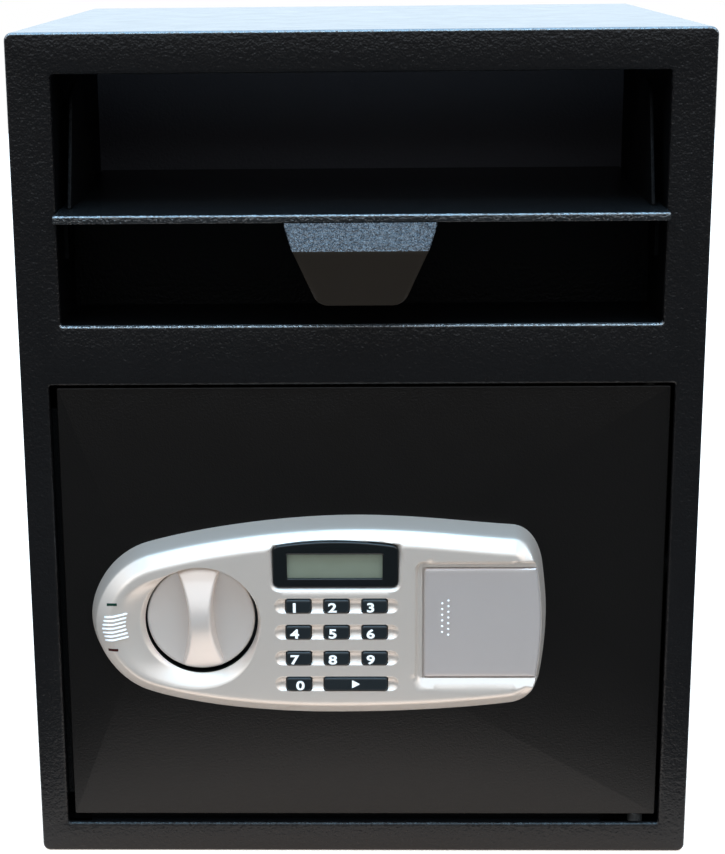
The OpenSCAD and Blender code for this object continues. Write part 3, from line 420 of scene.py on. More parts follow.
def finish(name, first, second, patch, roughness, spread, metallic=0.0, specular=0.5, bumps=(), ior=1.5):
    """A finish on Object coordinates: two near colours in soft patches of a size in metres, a roughness that
    varies by a spread, and bumps given as (cell, height) in metres, with a third value for rounded cells."""
    made = bpy.data.materials.new(name)
    made.use_nodes = True
    tree = made.node_tree
    where = shader_node(tree, "TexCoord", "Object", {})
    looks = {"Metallic": metallic, "Specular IOR Level": specular, "IOR": ior,
             "Base Color": blend(tree, noise(tree, where, patch, 4), first, second)}
    uneven = {"Value": noise(tree, where, patch / 3, 3)}
    uneven["To Min"], uneven["To Max"] = roughness - spread, roughness + spread
    looks["Roughness"] = shader_node(tree, "MapRange", "Result", uneven)
    for cell, height, *rounded in bumps:
        pattern = (cells if rounded else noise)(tree, where, cell)
        bump = {"Distance": height, "Strength": 1.0, "Height": pattern}
        if "Normal" in looks:
            bump["Normal"] = looks["Normal"]
        looks["Normal"] = shader_node(tree, "Bump", "Normal", bump)
    for key, value in looks.items():
        feed(tree, tree.nodes["Principled BSDF"].inputs[key], value)
    return made


HAMMER = ((0.0021, 0.0004), (0.0012, 0.00015, "cells"))
LOOKS = {
    "coat": ("black_hammered_coat", "coat", (0.0034, 0.003, 0.0032), 0.05, 0.3, 0.05, 0, 0.3, HAMMER),
    "shell": ("black_coat_sheet", "coat", (0.0046, 0.0046, 0.0054), 0.05, 0.14, 0.03, 0, 0.5,
              ((0.0025, 0.00003),)),
    "edge": ("black_coat_edge", (0.004, 0.0045, 0.005), (0.006, 0.007, 0.008), 0.01, 0.22, 0.05, 0, 0.75,
             ((0.0016, 0.0008), (0.001, 0.0003, "cells"))),
    # lip: a much lighter, bluish copy of the black coat with a strong specular, put only on up-facing rounded
    # edges: painted highlight
    "lip": ("black_coat_lip", (0.02, 0.024, 0.028), (0.05, 0.06, 0.07), 0.0016, 0.24, 0.06, 0, 1.0,
            ((0.0015, 0.0006), (0.001, 0.0002, "cells")), 1.75),
    # smooth: a warm brown copy of the black coat, lighter than it, for the handle's lower part: painted warm
    # floor light
    "smooth": ("black_coat_smooth", (0.0115, 0.0078, 0.0048), (0.0125, 0.0086, 0.0054), 0.03, 0.3, 0.04, 0,
               0.25),
    # thick: the black coat speckled with bluish grey in patches about 1 mm across, for the handle's upper
    # part: painted sky highlights on the hammer bumps
    "thick": ("black_coat_thick", (0.001, 0.0011, 0.0012), (0.1, 0.115, 0.135), 0.0011, 0.22, 0.1, 0, 0.8,
              ((0.0016, 0.0028), (0.0011, 0.0005, "cells"))),
    # back: a lighter, bluish copy of the black coat for the chute's back wall: painted light
    "back": ("black_coat_back", (0.06, 0.064, 0.08), (0.075, 0.08, 0.1), 0.06, 0.42, 0.05, 0, 0.15, HAMMER),
    # inner: a darker, duller copy of the black coat for parts inside the cabinet and under the hopper:
    # painted shade
    "inner": ("black_coat_inner", (0.0016, 0.0018, 0.002), (0.0024, 0.0026, 0.003), 0.06, 0.45, 0.05, 0, 0.06,
              HAMMER),
    "door": ("door_fine_coat", "door", (0.0036, 0.0027, 0.0021), 0.06, 0.3, 0.04, 0, 0.25,
             ((0.0011, 0.00012), (0.0006, 0.00005, "cells"))),
    "silver": ("silver_paint", "silver", (0.645, 0.565, 0.5), 0.03, 0.38, 0.02, 0.6, 0.5,
               ((0.0004, 0.000008),)),
    "knob": ("silver_paint_knob", (0.73, 0.635, 0.575), (0.75, 0.655, 0.59), 0.02, 0.34, 0.02, 0.6, 0.5,
             ((0.0004, 0.000008),)),
    "cover": ("silver_paint_cover", (0.54, 0.48, 0.455), (0.56, 0.5, 0.475), 0.015, 0.4, 0.03, 0.6, 0.5,
              ((0.0005, 0.000014),)),
    # rib: near-white silver on the ribs and the cover's dots: painted highlight on the raised parts
    "rib": ("silver_paint_raised", (0.86, 0.88, 0.9), (0.9, 0.92, 0.94), 0.004, 0.4, 0.03, 0.2, 0.5,
            ((0.0005, 0.00001),)),
    "key": ("key_plastic", "key", (0.009, 0.013, 0.015), 0.008, 0.3, 0.05, 0, 0.35, ((0.0006, 0.00002),)),
    "digit": ("key_print", "digit", (0.78, 0.8, 0.8), 0.002, 0.5, 0.05, 0, 0.3),
    # bezel: the display frame's black plastic, also put on the knob pocket's inside as painted shade
    "bezel_and_pocket_shade": ("display_frame_plastic", (0.002, 0.003, 0.0032), (0.003, 0.0045, 0.005), 0.02, 0.14, 0.03, 0,
              0.4, ((0.003, 0.00002),)),
    "glass": ("display_glass", "glass", (0.15, 0.165, 0.125), 0.012, 0.22, 0.05, 0, 0.4,
              ((0.0008, 0.00001),)),
    "green": ("green_paint", (0.002, 0.02, 0.013), (0.003, 0.028, 0.018), 0.002, 0.5, 0.05, 0, 0.1),
    "red": ("red_paint", (0.026, 0.003, 0.003), (0.035, 0.004, 0.004), 0.002, 0.5, 0.05, 0, 0.1),
    "zinc": ("zinc_plate", (0.5, 0.52, 0.55), (0.62, 0.62, 0.6), 0.006, 0.3, 0.08, 0.9, 0.5,
             ((0.0012, 0.00001),)),
    "steel": ("bright_steel", (0.6, 0.61, 0.63), (0.7, 0.7, 0.7), 0.004, 0.18, 0.06, 1.0, 0.5,
              ((0.0006, 0.000005),)),
    "bronze": ("sintered_bronze", (0.42, 0.27, 0.12), (0.3, 0.18, 0.08), 0.003, 0.4, 0.08, 0.9, 0.5,
               ((0.0004, 0.00002),)),
    "felt": ("grey_felt", (0.022, 0.022, 0.025), (0.04, 0.04, 0.045), 0.004, 0.95, 0.03, 0, 0.1,
             ((0.0009, 0.0006), (0.0003, 0.0003))),
    "nylon": ("white_nylon", (0.68, 0.67, 0.62), (0.75, 0.74, 0.7), 0.004, 0.5, 0.06, 0, 0.4,
              ((0.0008, 0.00002),)),
    "rubber": ("grey_rubber", (0.06, 0.06, 0.065), (0.08, 0.08, 0.085), 0.006, 0.75, 0.05, 0, 0.25,
               ((0.0005, 0.00002),)),
    "board": ("board_lacquer", (0.008, 0.09, 0.03), (0.012, 0.12, 0.045), 0.003, 0.3, 0.06, 0, 0.5,
              ((0.0025, 0.00004, "cells"),)),
    "copper": ("enamelled_copper", (0.42, 0.14, 0.05), (0.5, 0.2, 0.07), 0.0015, 0.28, 0.06, 0.85, 0.5,
               ((0.0006, 0.00008),)),
    "sleeve": ("cell_sleeve", (0.5, 0.28, 0.06), (0.55, 0.33, 0.08), 0.006, 0.3, 0.05, 0.4, 0.5,
               ((0.002, 0.00001),)),
    "red_plastic": ("red_plastic", (0.5, 0.02, 0.015), (0.58, 0.035, 0.02), 0.003, 0.35, 0.05, 0, 0.5,
                    ((0.0008, 0.00001),)),
}
FINISHES = {}


def finishes():
    """All finishes by name, made once."""
    colours = bpy.context.scene.drop_safe_colours
    for name, (material, first, *rest) in LOOKS.items():
        if name not in FINISHES:
            base = getattr(colours, first) if isinstance(first, str) else first
            FINISHES[name] = finish(material, base, *rest)
    return FINISHES


def dress(material, *nodes):
    """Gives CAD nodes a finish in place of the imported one."""
    for node in nodes:
        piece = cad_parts[node]
        if not piece.material_slots:
            piece.data.materials.append(material)
        for place in piece.material_slots:
            place.material = material


# ---------------------------------------------------------------- lock housing as a height field
# Lock axes, in mm: x to the right from the housing's left end, z up from its middle, u out of the door

FACE = 20.0
# Chain of cubic curves, clockwise from the left end, three points each: shares of width and half height
OUTLINE = np.array([
    [0, -0.02], [0, 0.26], [0.046, 0.62], [0.125, 0.73], [0.25, 0.89], [0.437, 1],
    [0.582, 1], [0.707, 1], [0.811, 0.935], [0.923, 0.9], [0.957, 0.888], [0.98, 0.755],
    [0.989, 0.55], [0.994, 0.4], [1, 0.18], [1, 0], [1, -0.22], [0.995, -0.44],
    [0.988, -0.626], [0.982, -0.77], [0.961, -0.877], [0.923, -0.902], [0.811, -0.967], [0.666, -1],
    [0.532, -1], [0.395, -1], [0.229, -0.93], [0.125, -0.773], [0.05, -0.663], [0, -0.313],
])
KNOB = np.array([59.0, 2.2])
POCKET = KNOB + [0.3, -0.9]
RIM_U, POCKET_FLOOR_U, POCKET_BACK_U, SHAFT_SHARE = 13.0, 6.0, 4.0, 5.5 / 29.3
# The pocket's wall, floor and shaft hole: share of the radius, and height
POCKET_STEPS = ((1.0, POCKET_FLOOR_U), (SHAFT_SHARE, POCKET_FLOOR_U), (SHAFT_SHARE, POCKET_BACK_U))
# Reach of the hollow round the knob: angle from the right, counter-clockwise, and distance from the middle
HOLLOW_ANGLE = np.array([-166, -157, -145, -135, -122, -108, -92, -77, -59, -41, -21, -5, 13, 30, 60, 90, 112,
                         128, 141, 153, 161, 168, 176, 185])
HOLLOW_REACH = np.array([45.0, 45.0, 44.3, 42.4, 39.9, 37.8, 37.0, 36.6, 35.8, 33.9, 31.6, 31.5, 31.3, 30.5,
                         30.3, 30.3, 30.5, 31.4, 35.2, 39.2, 42.0, 42.8, 43.2, 44.2])
COLLAR_RISE, COLLAR_SHARE = 2.6, 0.15
# Angles between which the collar comes in and goes out, and its share there
COLLAR_SECTOR = ((118, 146, 212, 240), (0, 1, 1, 0))
KEYS_X = 130.1
ROWS_Z = 10.7 - 14.35 * np.arange(4)
KEY_PITCH = 19.8
KEY_SIZE = (13.6, 7.9)
KEY_CORNER, KEY_LOW_CORNER = 1.4, 2.4
KEY_TOP_U = 20.4
KEY_GAP = 0.2
WIDE_KEY = 33.7
GROOVE_HALF = 28.4
# Display frame: middle x, low z, width, height of its sides, rise of its arched top; then its corners' radius
DISPLAY = (129.7, 20.1, 64.8, 22.9, 2.8)
DISPLAY_CORNER = 3.2
# Display glass: middle x, middle z, width, height
GLASS = (129.3, 31.8, 49.4, 13.3)
COVER_X, COVER_LOW, COVER_HIGH = 175.4, -29.7, 30.3
COVER_TOP_U, COVER_BACK_U = 17.5, 15.7
END_FROM, END_HALF, END_LEAN, COVER_EDGE = 224, 45, 3.8, 4.0
COVER_GAP, LEFT_GAP, SEAT_WALL = 0.3, 0.6, 0.2
TRAY_HOLE = (176.9, 229.4, -28.7, 29.3)
PAST_END = 250
SCREWS = np.array([[22, 20], [22, -20], [168.5, 38], [168.5, -38]], float)
BOSS_RADIUS = 3.5
HOUSING_WALL, HOUSING_FRONT, HOUSING_SKIN = 2.0, 4.0, 1.8


def housing_outline(per_curve):
    """Points of the housing's outline, counter-clockwise, from its closed chain of cubic curves."""
    width = (LOCK_HIGH.x - LOCK_LOW.x) / MM
    height = (LOCK_HIGH.z - LOCK_LOW.z) / MM
    c = OUTLINE.reshape(-1, 3, 2)
    t = (np.arange(per_curve) / per_curve)[None, :, None]
    a, b, d, e = c[:, :1], c[:, 1:2], c[:, 2:], np.roll(c[:, :1], -1, 0)
    curve = (1 - t) ** 3 * a + 3 * (1 - t) ** 2 * t * b + 3 * (1 - t) * t ** 2 * d + t ** 3 * e
    return (curve.reshape(-1, 2) * [width, height / 2])[::-1]


RIM = housing_outline(30)


def edge_distance(x, z):
    """Distance from the housing's outline, positive inside: the least distance to its straight pieces."""
    p = np.stack([np.ravel(x), np.ravel(z)], 1)
    a, side = RIM, np.roll(RIM, -1, 0) - RIM
    found = np.empty(len(p))
    for first in range(0, len(p), 8000):
        q = p[first:first + 8000, None] - a
        t = np.clip((q * side).sum(2) / (side * side).sum(1), 0, 1)
        found[first:first + 8000] = np.sqrt(((q - t[..., None] * side) ** 2).sum(2).min(1))
    return np.where(inside(p, [RIM]), found, -found).reshape(np.shape(x))


def soft_min(a, b, k):
    """The lesser of two values, with a parabola of width k where they meet:
    min(a, b) - max(k - |a - b|, 0)^2 / 4k."""
    return np.minimum(a, b) - np.maximum(k - np.abs(a - b), 0) ** 2 / (4 * k)


def form_height(inward, x, z, s):
    """Height of the plain housing over the distance from its outline: a steep side, a bevel and a flat face.
    The right end has no bevel: there the steep side goes up to the face."""
    side, lean, run = s.side_height / MM, s.side_lean / MM, s.bevel_run / MM
    steep = side / lean * inward
    bevel = side + (FACE - side) / run * (inward - lean)
    at_end = smooth_step((x - END_FROM) / 8) * smooth_step((END_HALF - np.abs(z)) / 13)
    plain = soft_min(soft_min(steep, bevel, 1.5), FACE, 1.4)
    return plain + at_end * (soft_min(COVER_TOP_U / END_LEAN * inward, FACE, 1.2) - plain)


def smooth_step(t):
    """0 up to t = 0, 1 from t = 1 on, and t^2 (3 - 2 t) between."""
    t = np.clip(t, 0, 1)
    return t * t * (3 - 2 * t)


def hollow_reach(angle):
    """Reach of the hollow at an angle: the table's values, run together smoothly round the circle."""
    whole = np.arange(360.0)
    table = np.interp(whole, HOLLOW_ANGLE, HOLLOW_REACH, period=360)
    bell = np.exp(-0.5 * (np.minimum(whole, 360 - whole) / 4) ** 2)
    smooth = np.fft.irfft(np.fft.rfft(table) * np.fft.rfft(bell / bell.sum()), 360)
    return np.interp(angle % 360, whole, smooth, period=360)


def hollow_span(angle, s):
    """Distances from the pocket's middle at which the hollow starts and ends, at an angle in degrees."""
    turn = np.radians(angle)
    moved = (POCKET - KNOB) @ [np.cos(turn), np.sin(turn)]
    start = s.pocket_radius / MM + 0.2
    return start, np.maximum(hollow_reach(angle) - np.maximum(moved, 0), start + 0.5)


def hollow_height(x, z, s):
    """Hollow round the knob: from the rim to the reach a cone, less steep further out, and on the left a
    collar and a scoop."""
    dx, dz = x - POCKET[0], z - POCKET[1]
    angle = np.degrees(np.arctan2(dz, dx)) % 360
    start, reach = hollow_span(angle.ravel(), s)
    share = (np.hypot(dx, dz) - start) / (reach.reshape(np.shape(dx)) - start)
    lip = RIM_U + 1.0
    cone = lip + (FACE - lip) * share * (1.35 - 0.35 * np.clip(share, 0, 1))
    collar = lip + COLLAR_RISE * share / COLLAR_SHARE
    out = np.maximum((share - COLLAR_SHARE) / (1 - COLLAR_SHARE), 0)
    scoop = lip + COLLAR_RISE + (FACE - lip - COLLAR_RISE) * out ** 1.35
    left = np.interp(angle, *COLLAR_SECTOR)
    return cone + left * (soft_min(collar, scoop, 0.5) - cone)


def groove_distance(x, z):
    """Distance from the middle line of the nearest key groove."""
    out = np.maximum(np.abs(x - KEYS_X) - GROOVE_HALF, 0)
    return np.hypot(out, np.abs(z[..., None] - ROWS_Z).min(-1))


def rounded_box(x, z, cx, cz, w, h, r):
    """Signed distance from a rounded box, negative inside."""
    qx, qz = np.abs(x - cx) - w / 2 + r, np.abs(z - cz) - h / 2 + r
    return np.hypot(np.maximum(qx, 0), np.maximum(qz, 0)) + np.minimum(np.maximum(qx, qz), 0) - r


def display_distance(x, z):
    """Signed distance from the display frame's outline: a rounded box cut by an arc at its top."""
    cx, low, w, h, arch = DISPLAY
    arc = (w * w / 4 + arch * arch) / (2 * arch)
    box = rounded_box(x, z, cx, low + (h + arch) / 2, w, h + arch, DISPLAY_CORNER)
    return np.maximum(box, np.hypot(x - cx, z - (low + h + arch - arc)) - arc)


FIELD = dict(left=172.2, top=33.2, low=-30.1, corner=3.2, wall=1.45, slope=5.4)


def field_height(x, z, s):
    """Sunk field round the battery cover: a floor, steep walls left and above, and a wide slope below."""
    f = FIELD
    out_x = np.maximum(f["left"] + f["corner"] - x, 0)
    up, down = np.maximum(z - f["top"] + f["corner"], 0), np.maximum(f["low"] + f["corner"] - z, 0)
    high = np.hypot(out_x, up) - f["corner"]
    low = np.hypot(out_x, down) - f["corner"]
    wide = np.hypot(out_x * f["wall"], down * f["slope"]) / np.maximum(np.hypot(out_x, down), 1e-9)
    depth = s.field_depth / MM
    walls = np.where(z > (f["top"] + f["low"]) / 2, high / f["wall"], low / np.maximum(wide, 0.3))
    return FACE - depth + depth * np.maximum(walls, 0)


def cover_distance(x, z):
    """Distance outside the seat of the battery cover, negative inside."""
    out_z = np.maximum(z - COVER_HIGH - COVER_GAP, COVER_LOW - COVER_GAP - z)
    return np.maximum(COVER_X - LEFT_GAP - x, out_z)


def housing_height(x, z, s, inward=None):
    """Height of the housing's front: the plain form less hollow, grooves, display slope, field and seat."""
    inward = edge_distance(x, z) if inward is None else inward
    u = form_height(inward, x, z, s)
    u = soft_min(u, hollow_height(x, z, s), 0.9)
    half, deep = s.groove_width / MM / 2, s.groove_depth / MM
    ball = (half * half + deep * deep) / (2 * deep) + 0.9
    off = groove_distance(x, z)
    groove = FACE - deep + ball - np.sqrt(np.maximum(ball * ball - off * off, 0))
    groove += 3 * np.maximum(off - ball, 0)
    scale = deep / (ball - math.sqrt(ball * ball - half * half))
    u = soft_min(u, FACE - deep + (groove - FACE + deep) * scale, 0.3)
    chamfer = s.display_chamfer / MM
    u = soft_min(u, FACE - 2 + 2 * np.maximum(display_distance(x, z), 0) / chamfer, 0.25)
    u = soft_min(u, field_height(x, z, s), 0.35)
    seat = COVER_BACK_U - 0.1 + 2.2 * np.maximum(cover_distance(x, z), 0) / SEAT_WALL
    return np.minimum(u, seat)


def grid(xs, zs):
    """Points at every pairing of two rows of places."""
    return np.stack(np.meshgrid(xs, zs), -1).reshape(-1, 2)


def key_places():
    """(name, middle x, middle z, width) of the eleven keys."""
    digits = [(str(n), KEYS_X + ((n - 1) % 3 - 1) * KEY_PITCH, ROWS_Z[(n - 1) // 3], KEY_SIZE[0])
              for n in range(1, 10)]
    return digits + [("0", KEYS_X - KEY_PITCH, ROWS_Z[3], KEY_SIZE[0]),
                     ("start", KEYS_X + KEY_PITCH / 2, ROWS_Z[3], WIDE_KEY)]


def display_outline(gap):
    """Outline of the display frame: sides and a low edge with round corners, and an arched top."""
    cx, low, w, h, arch = DISPLAY
    r = (w * w / 4 + arch * arch) / (2 * arch)
    x = np.linspace(w / 2, -w / 2, 13)
    top = np.stack([cx + x, low + h + arch - r + np.sqrt(r * r - x * x)], 1)
    corners = np.concatenate([[[cx - w / 2, low], [cx + w / 2, low]], top])
    rounding = np.concatenate([[DISPLAY_CORNER] * 3, np.full(11, 30.0), [DISPLAY_CORNER]])
    return inset(fillet(corners, rounding, 4), -gap)


def polyline(corners, step):
    """Points along a line through corners, about one step apart."""
    p = np.asarray(corners, float)
    gone = np.concatenate([[0], np.cumsum(np.linalg.norm(np.diff(p, axis=0), axis=1))])
    at = np.linspace(0, gone[-1], max(2, int(gone[-1] / step)))
    return np.stack([np.interp(at, gone, p[:, 0]), np.interp(at, gone, p[:, 1])], 1)


def box_about(x, z, w, h, more=0):
    """Corners of a box given by its middle and size, and made larger on every side."""
    return box_outline(x - w / 2 - more, x + w / 2 + more, z - h / 2 - more, z + h / 2 + more)


def housing_points(s):
    """Loops that bound the housing's front, and loose points between them, placed densely where it bends."""
    rim = housing_outline(40)
    holes = [fillet(box_about(x, z, w, KEY_SIZE[1], KEY_GAP), KEY_CORNER + KEY_GAP, 5)
             for _, x, z, w in key_places()]
    pocket = circle(*POCKET, s.pocket_radius / MM, 160)
    tray = box_outline(*TRAY_HOLE)
    tray = polyline(np.concatenate([tray, tray[:1]]), 3)[:-1]
    loops = [rim] + [hole[::-1] for hole in [pocket, display_outline(0.15), tray] + holes]

    loose = []
    for d in (0.5, 1.2, 1.9, 2.5, 3.0, 3.5, 4.0, 4.6, 5.3, 6.1, 6.9, 7.6, 8.2, 8.8, 9.4, 10.1, 11.0, 12.2):
        loose.append(inset(rim, d)[edge_distance(*inset(rim, d).T) > d - 0.06])
    angle = np.arange(200) / 200 * 2 * np.pi
    start, reach = hollow_span(np.degrees(angle), s)
    shares = (0.03, 0.08, 0.13, 0.16, 0.2, 0.26, 0.34, 0.44, 0.54, 0.64, 0.74, 0.83, 0.9, 0.95, 1, 1.04, 1.1,
              1.18)
    radii = [start + (reach - start) * share for share in shares] + [reach + more for more in (0.5, 1.0, 1.8)]
    loose += [POCKET + np.stack([r * np.cos(angle), r * np.sin(angle)], 1) for r in radii]
    end = np.linspace(-np.pi / 2, np.pi / 2, 22)
    side = np.linspace(GROOVE_HALF, -GROOVE_HALF, 72)
    for off in (0.9, 1.8, 2.6, 3.2, 3.6, 3.85, 4.05, 4.3, 4.8):
        right = np.stack([GROOVE_HALF + off * np.cos(end), off * np.sin(end)], 1)
        top = np.stack([side, np.full(len(side), off)], 1)[1:-1]
        ring = np.concatenate([right, top, -right, -top])
        loose += [ring + [KEYS_X, z] for z in ROWS_Z]
    loose += [np.stack([KEYS_X + side, np.full(len(side), z)], 1) for z in ROWS_Z]
    frame_line = display_outline(0)
    loose += [inset(frame_line, -d) for d in (0.7, 1.2, 1.6, 1.8, 2.0, 2.6)]
    f = FIELD
    for d, low in ((-1.2, -0.6), (-0.3, -0.15), (0, 0), (0.3, 0.3), (0.75, 1.6), (1.15, 3.2), (1.45, 4.6),
                   (1.6, 5.2), (1.8, 5.7), (2.4, 6.6)):
        corners = [[PAST_END, f["low"] - low], [f["left"] - d, f["low"] - low], [f["left"] - d, f["top"] + d],
                   [PAST_END, f["top"] + d]]
        bent = fillet(corners, [0.01, f["corner"] + d + low, f["corner"] + d, 0.01], 10)
        loose.append(polyline(bent[11:33], 1.3))
    x0, z0, z1 = COVER_X - LEFT_GAP, COVER_LOW - COVER_GAP, COVER_HIGH + COVER_GAP
    for d in (0, SEAT_WALL):
        corners = [[PAST_END, z0 - d], [x0 - d, z0 - d], [x0 - d, z1 + d], [PAST_END, z1 + d]]
        loose.append(polyline(corners, 0.5))
    loose += [circle(*p, r, 16) for p in SCREWS for r in (3.3, 3.7)]
    # An even grid under the ribs and marks
    loose.append(grid(np.arange(6.0, 23.5, 0.7), np.arange(-15.5, 13.8, 0.7)))

    loose = np.concatenate(loose)
    x, z = loose.T
    keep = edge_distance(x, z) > 0.3
    keep &= np.hypot(x - POCKET[0], z - POCKET[1]) > s.pocket_radius / MM + 0.12
    keep &= display_distance(x, z) > 0.32
    x0, x1, z0, z1 = TRAY_HOLE
    keep &= rounded_box(x, z, (x0 + x1) / 2, (z0 + z1) / 2, x1 - x0, z1 - z0, 0.01) > 0.35
    for _, kx, kz, w in key_places():
        keep &= rounded_box(x, z, kx, kz, w, KEY_SIZE[1], KEY_CORNER) > KEY_GAP + 0.16
    off = cover_distance(x, z)
    keep &= (np.abs(off) < 1e-6) | (np.abs(off - SEAT_WALL) < 1e-6) | (off < -0.15) | (off > SEAT_WALL + 0.15)
    loose = loose[keep]
    _, first = np.unique(np.round(loose / 0.1).astype(int), axis=0, return_index=True)
    loose = loose[np.sort(first)]

    # An even fill, left out in every 1 mm cell beside one that holds a point
    step = 2.4
    gx, gz = np.meshgrid(np.arange(0, 241, step), np.arange(-54, 55, step))
    gx[1::2] += step / 2
    fill = np.stack([gx.ravel(), gz.ravel()], 1)
    taken = np.zeros((260, 130), bool)
    corner = [5, 62]
    at = np.floor(np.concatenate([loose, *loops]) + corner).astype(int)
    for dx in (-1, 0, 1):
        for dz in (-1, 0, 1):
            taken[np.clip(at[:, 0] + dx, 0, 259), np.clip(at[:, 1] + dz, 0, 129)] = True
    at = np.floor(fill + corner).astype(int)
    return loops, np.concatenate([loose, fill[~taken[at[:, 0], at[:, 1]]]])


def housing_shell(s):
    """Front surface over the loops, an inner surface one wall behind it, and walls down through the holes."""
    loops, loose = housing_points(s)
    flat = np.concatenate(loops + [loose])
    faces = triangles(flat, loops)
    used = np.zeros(len(flat), bool)
    used[faces] = True
    used[:sum(map(len, loops))] = True
    number = np.cumsum(used) - 1
    flat, faces = flat[used], number[faces]
    x, z = flat.T
    n, first = len(flat), len(loops[0])
    inward = edge_distance(x, z)
    inward[:first] = 0
    front = housing_height(x, z, s, inward)
    front[:first] = 0
    around = np.hypot(x - KNOB[0], z - KNOB[1])
    back = np.minimum(form_height(inward - HOUSING_WALL, x, z, s), FACE - HOUSING_FRONT)
    back = np.minimum(np.minimum(back, front - HOUSING_SKIN), POCKET_BACK_U + np.maximum(around - 32, 0) * 6)
    boss = np.hypot(x[:, None] - SCREWS[:, 0], z[:, None] - SCREWS[:, 1]).min(1) < BOSS_RADIUS
    back = np.maximum(np.where(boss, 0, back), 0)
    points = np.concatenate([at_height(flat, front), at_height(flat, back)])
    behind = np.arange(n) + n
    behind[:first] -= n
    groups = [faces, behind[faces][:, ::-1]]
    for k, loop in enumerate(loops[1:]):
        last = ring = np.arange(len(loop)) + first
        first += len(loop)
        for share, u in POCKET_STEPS if not k else ():
            numbers = np.arange(len(ring)) + len(points)
            points = np.concatenate([points, at_height(POCKET + (flat[ring] - POCKET) * share, u)])
            groups.append(strip(last, numbers)[:, ::-1])
            last = numbers
        groups.append(strip(last, behind[ring])[:, ::-1])
    return points, groups


# ---------------------------------------------------------------- operators


# The window's edges and its gap beside the hopper, the doorway, and radii of the frame's corners
WINDOW_Z, WINDOW_GAP = (291.9, 417.5), 0.8
DOORWAY = (-160.4, 160.4, 16.7, 260.6)
FRAME_CORNER, OPENING_CORNER = 4, 1.2
# The hopper's sheet gauge, and in its profile the radius of free corners and of the fold's inside
SHEET, PROFILE_CORNER, FOLD_INSIDE = 2.0, 0.7, 0.5
# How far a cheek's front and back edge lean in, and the radius of its lower and upper corners
CHEEK_LEAN, CHEEK_CORNERS = (24, 50), (0.6, 14)


class MakeCabinet(bpy.types.Operator):
    """Front frame with rounded edges, cabinet sheets and deposit chute"""
    bl_idname = "drop_safe.cabinet"
    bl_label = "Cabinet"

    def execute(self, context):
        s, f = context.scene.drop_safe_sheet, finishes()
        x, y, z = spans("front_frame")
        half = spans("hopper_plate")[0][1] + WINDOW_GAP
        openings = box_outline(-half, half, *WINDOW_Z), box_outline(*DOORWAY)
        loops = [fillet(box_outline(*x, *z), FRAME_CORNER, 8)]
        loops += [fillet(hole, OPENING_CORNER, 3)[::-1] for hole in openings]
        edges = [(s.frame_edge / MM, 0)] + [(s.opening_edge / MM, 0)] * 2
        # Up-facing faces of the frame's rounded outer edge and of the window's rounded edges take the lip
        # finish: a painted highlight along the top edge and the sill
        add_piece("front_frame_sheet", [plate(loops, *y, "y", edges)], f["coat"], "cabinet", ["front_frame"],
                  second=f["lip"], kinds=range(1, 9), up=(0.25, 2))
        dress(f["shell"], "cabinet_shell")
        dress(f["coat"], "back_panel")
        # Parts inside the cabinet take the darker inner copy of the coat: painted shade
        dress(f["inner"], "chute_sides", "recess_tray", "latch_keeper", "door_stops", "hinge_brackets",
              "rest_brackets")
        # The chute's back wall takes the lighter back copy of the coat: painted light
        dress(f["back"], "chute_baffle")
        dress(f["felt"], "floor_mat")
        dress(f["zinc"], "pivot_pins", "hinge_pins")
        return {"FINISHED"}


class MakeHopper(bpy.types.Operator):
    """Hopper plate with its folded front, side cheeks and the bent pull handle"""
    bl_idname = "drop_safe.hopper"
    bl_label = "Hopper"

    def execute(self, context):
        s, f = context.scene.drop_safe_sheet, finishes()
        x, (y0, y1), (z0, z1) = spans("hopper_plate")
        corners = [[y0, z0], [y0 + SHEET, z0], [y0 + SHEET, z1 - SHEET], [y1, z1 - SHEET], [y1, z1], [y0, z1]]
        free, edge = [PROFILE_CORNER] * 2, s.sheet_edge / MM
        profile = fillet(corners, [*free, FOLD_INSIDE, *free, s.plate_edge / MM + FOLD_INSIDE], 4)
        # The up-facing part of the plate's rounded front takes the lip finish: painted highlight
        add_piece("hopper_sheet", [bar(profile, *x, "x", edge)], f["edge"], "hopper", ["hopper_plate"],
                  second=f["lip"], kinds=[0], up=(0.3, 0.97))
        (_, x1), (y0, y1), (z0, z1) = spans("hopper_cheeks")
        corners = [[y0, z0], [y1, z0], [y1 - CHEEK_LEAN[1], z1], [y0 + CHEEK_LEAN[0], z1]]
        outline = fillet(corners, np.repeat(CHEEK_CORNERS, 2), 8)
        cheeks = [bar(outline, a, b, "x", edge) for a, b in ((x1 - SHEET, x1), (-x1, -x1 + SHEET))]
        # The cheeks take the darker inner copy of the coat: painted shade
        add_piece("hopper_cheek_sheets", cheeks, f["inner"], "hopper", ["hopper_cheeks"])
        # The handle's upper part and top end take the bluish-speckled copy of the coat, painted sky
        # highlights; its lower part and bottom end take the warm copy, painted floor light
        add_piece("pull_handle_sheet", [handle_sheet(s.handle_bend / MM)], f["thick"], "hopper",
                  ["pull_handle"], second=f["smooth"], kinds=[1, 3])
        # The ears take the darker inner copy of the coat: painted shade
        dress(f["inner"], "hopper_ears")
        dress(f["nylon"], "pivot_bushes")
        return {"FINISHED"}


# Gauge, edge rounding and corner radius; lean of the upper and lower part, height of the bend, and widths
# at the foot, the bend and the top
HANDLE_SHEET, HANDLE_EDGE, HANDLE_CORNER = 2.5, 0.8, 5.0
HANDLE_LEAN, HANDLE_LOW, HANDLE_WIDTHS = (10.5, 10), 28.5, (43.0, 67.0, 76.0)


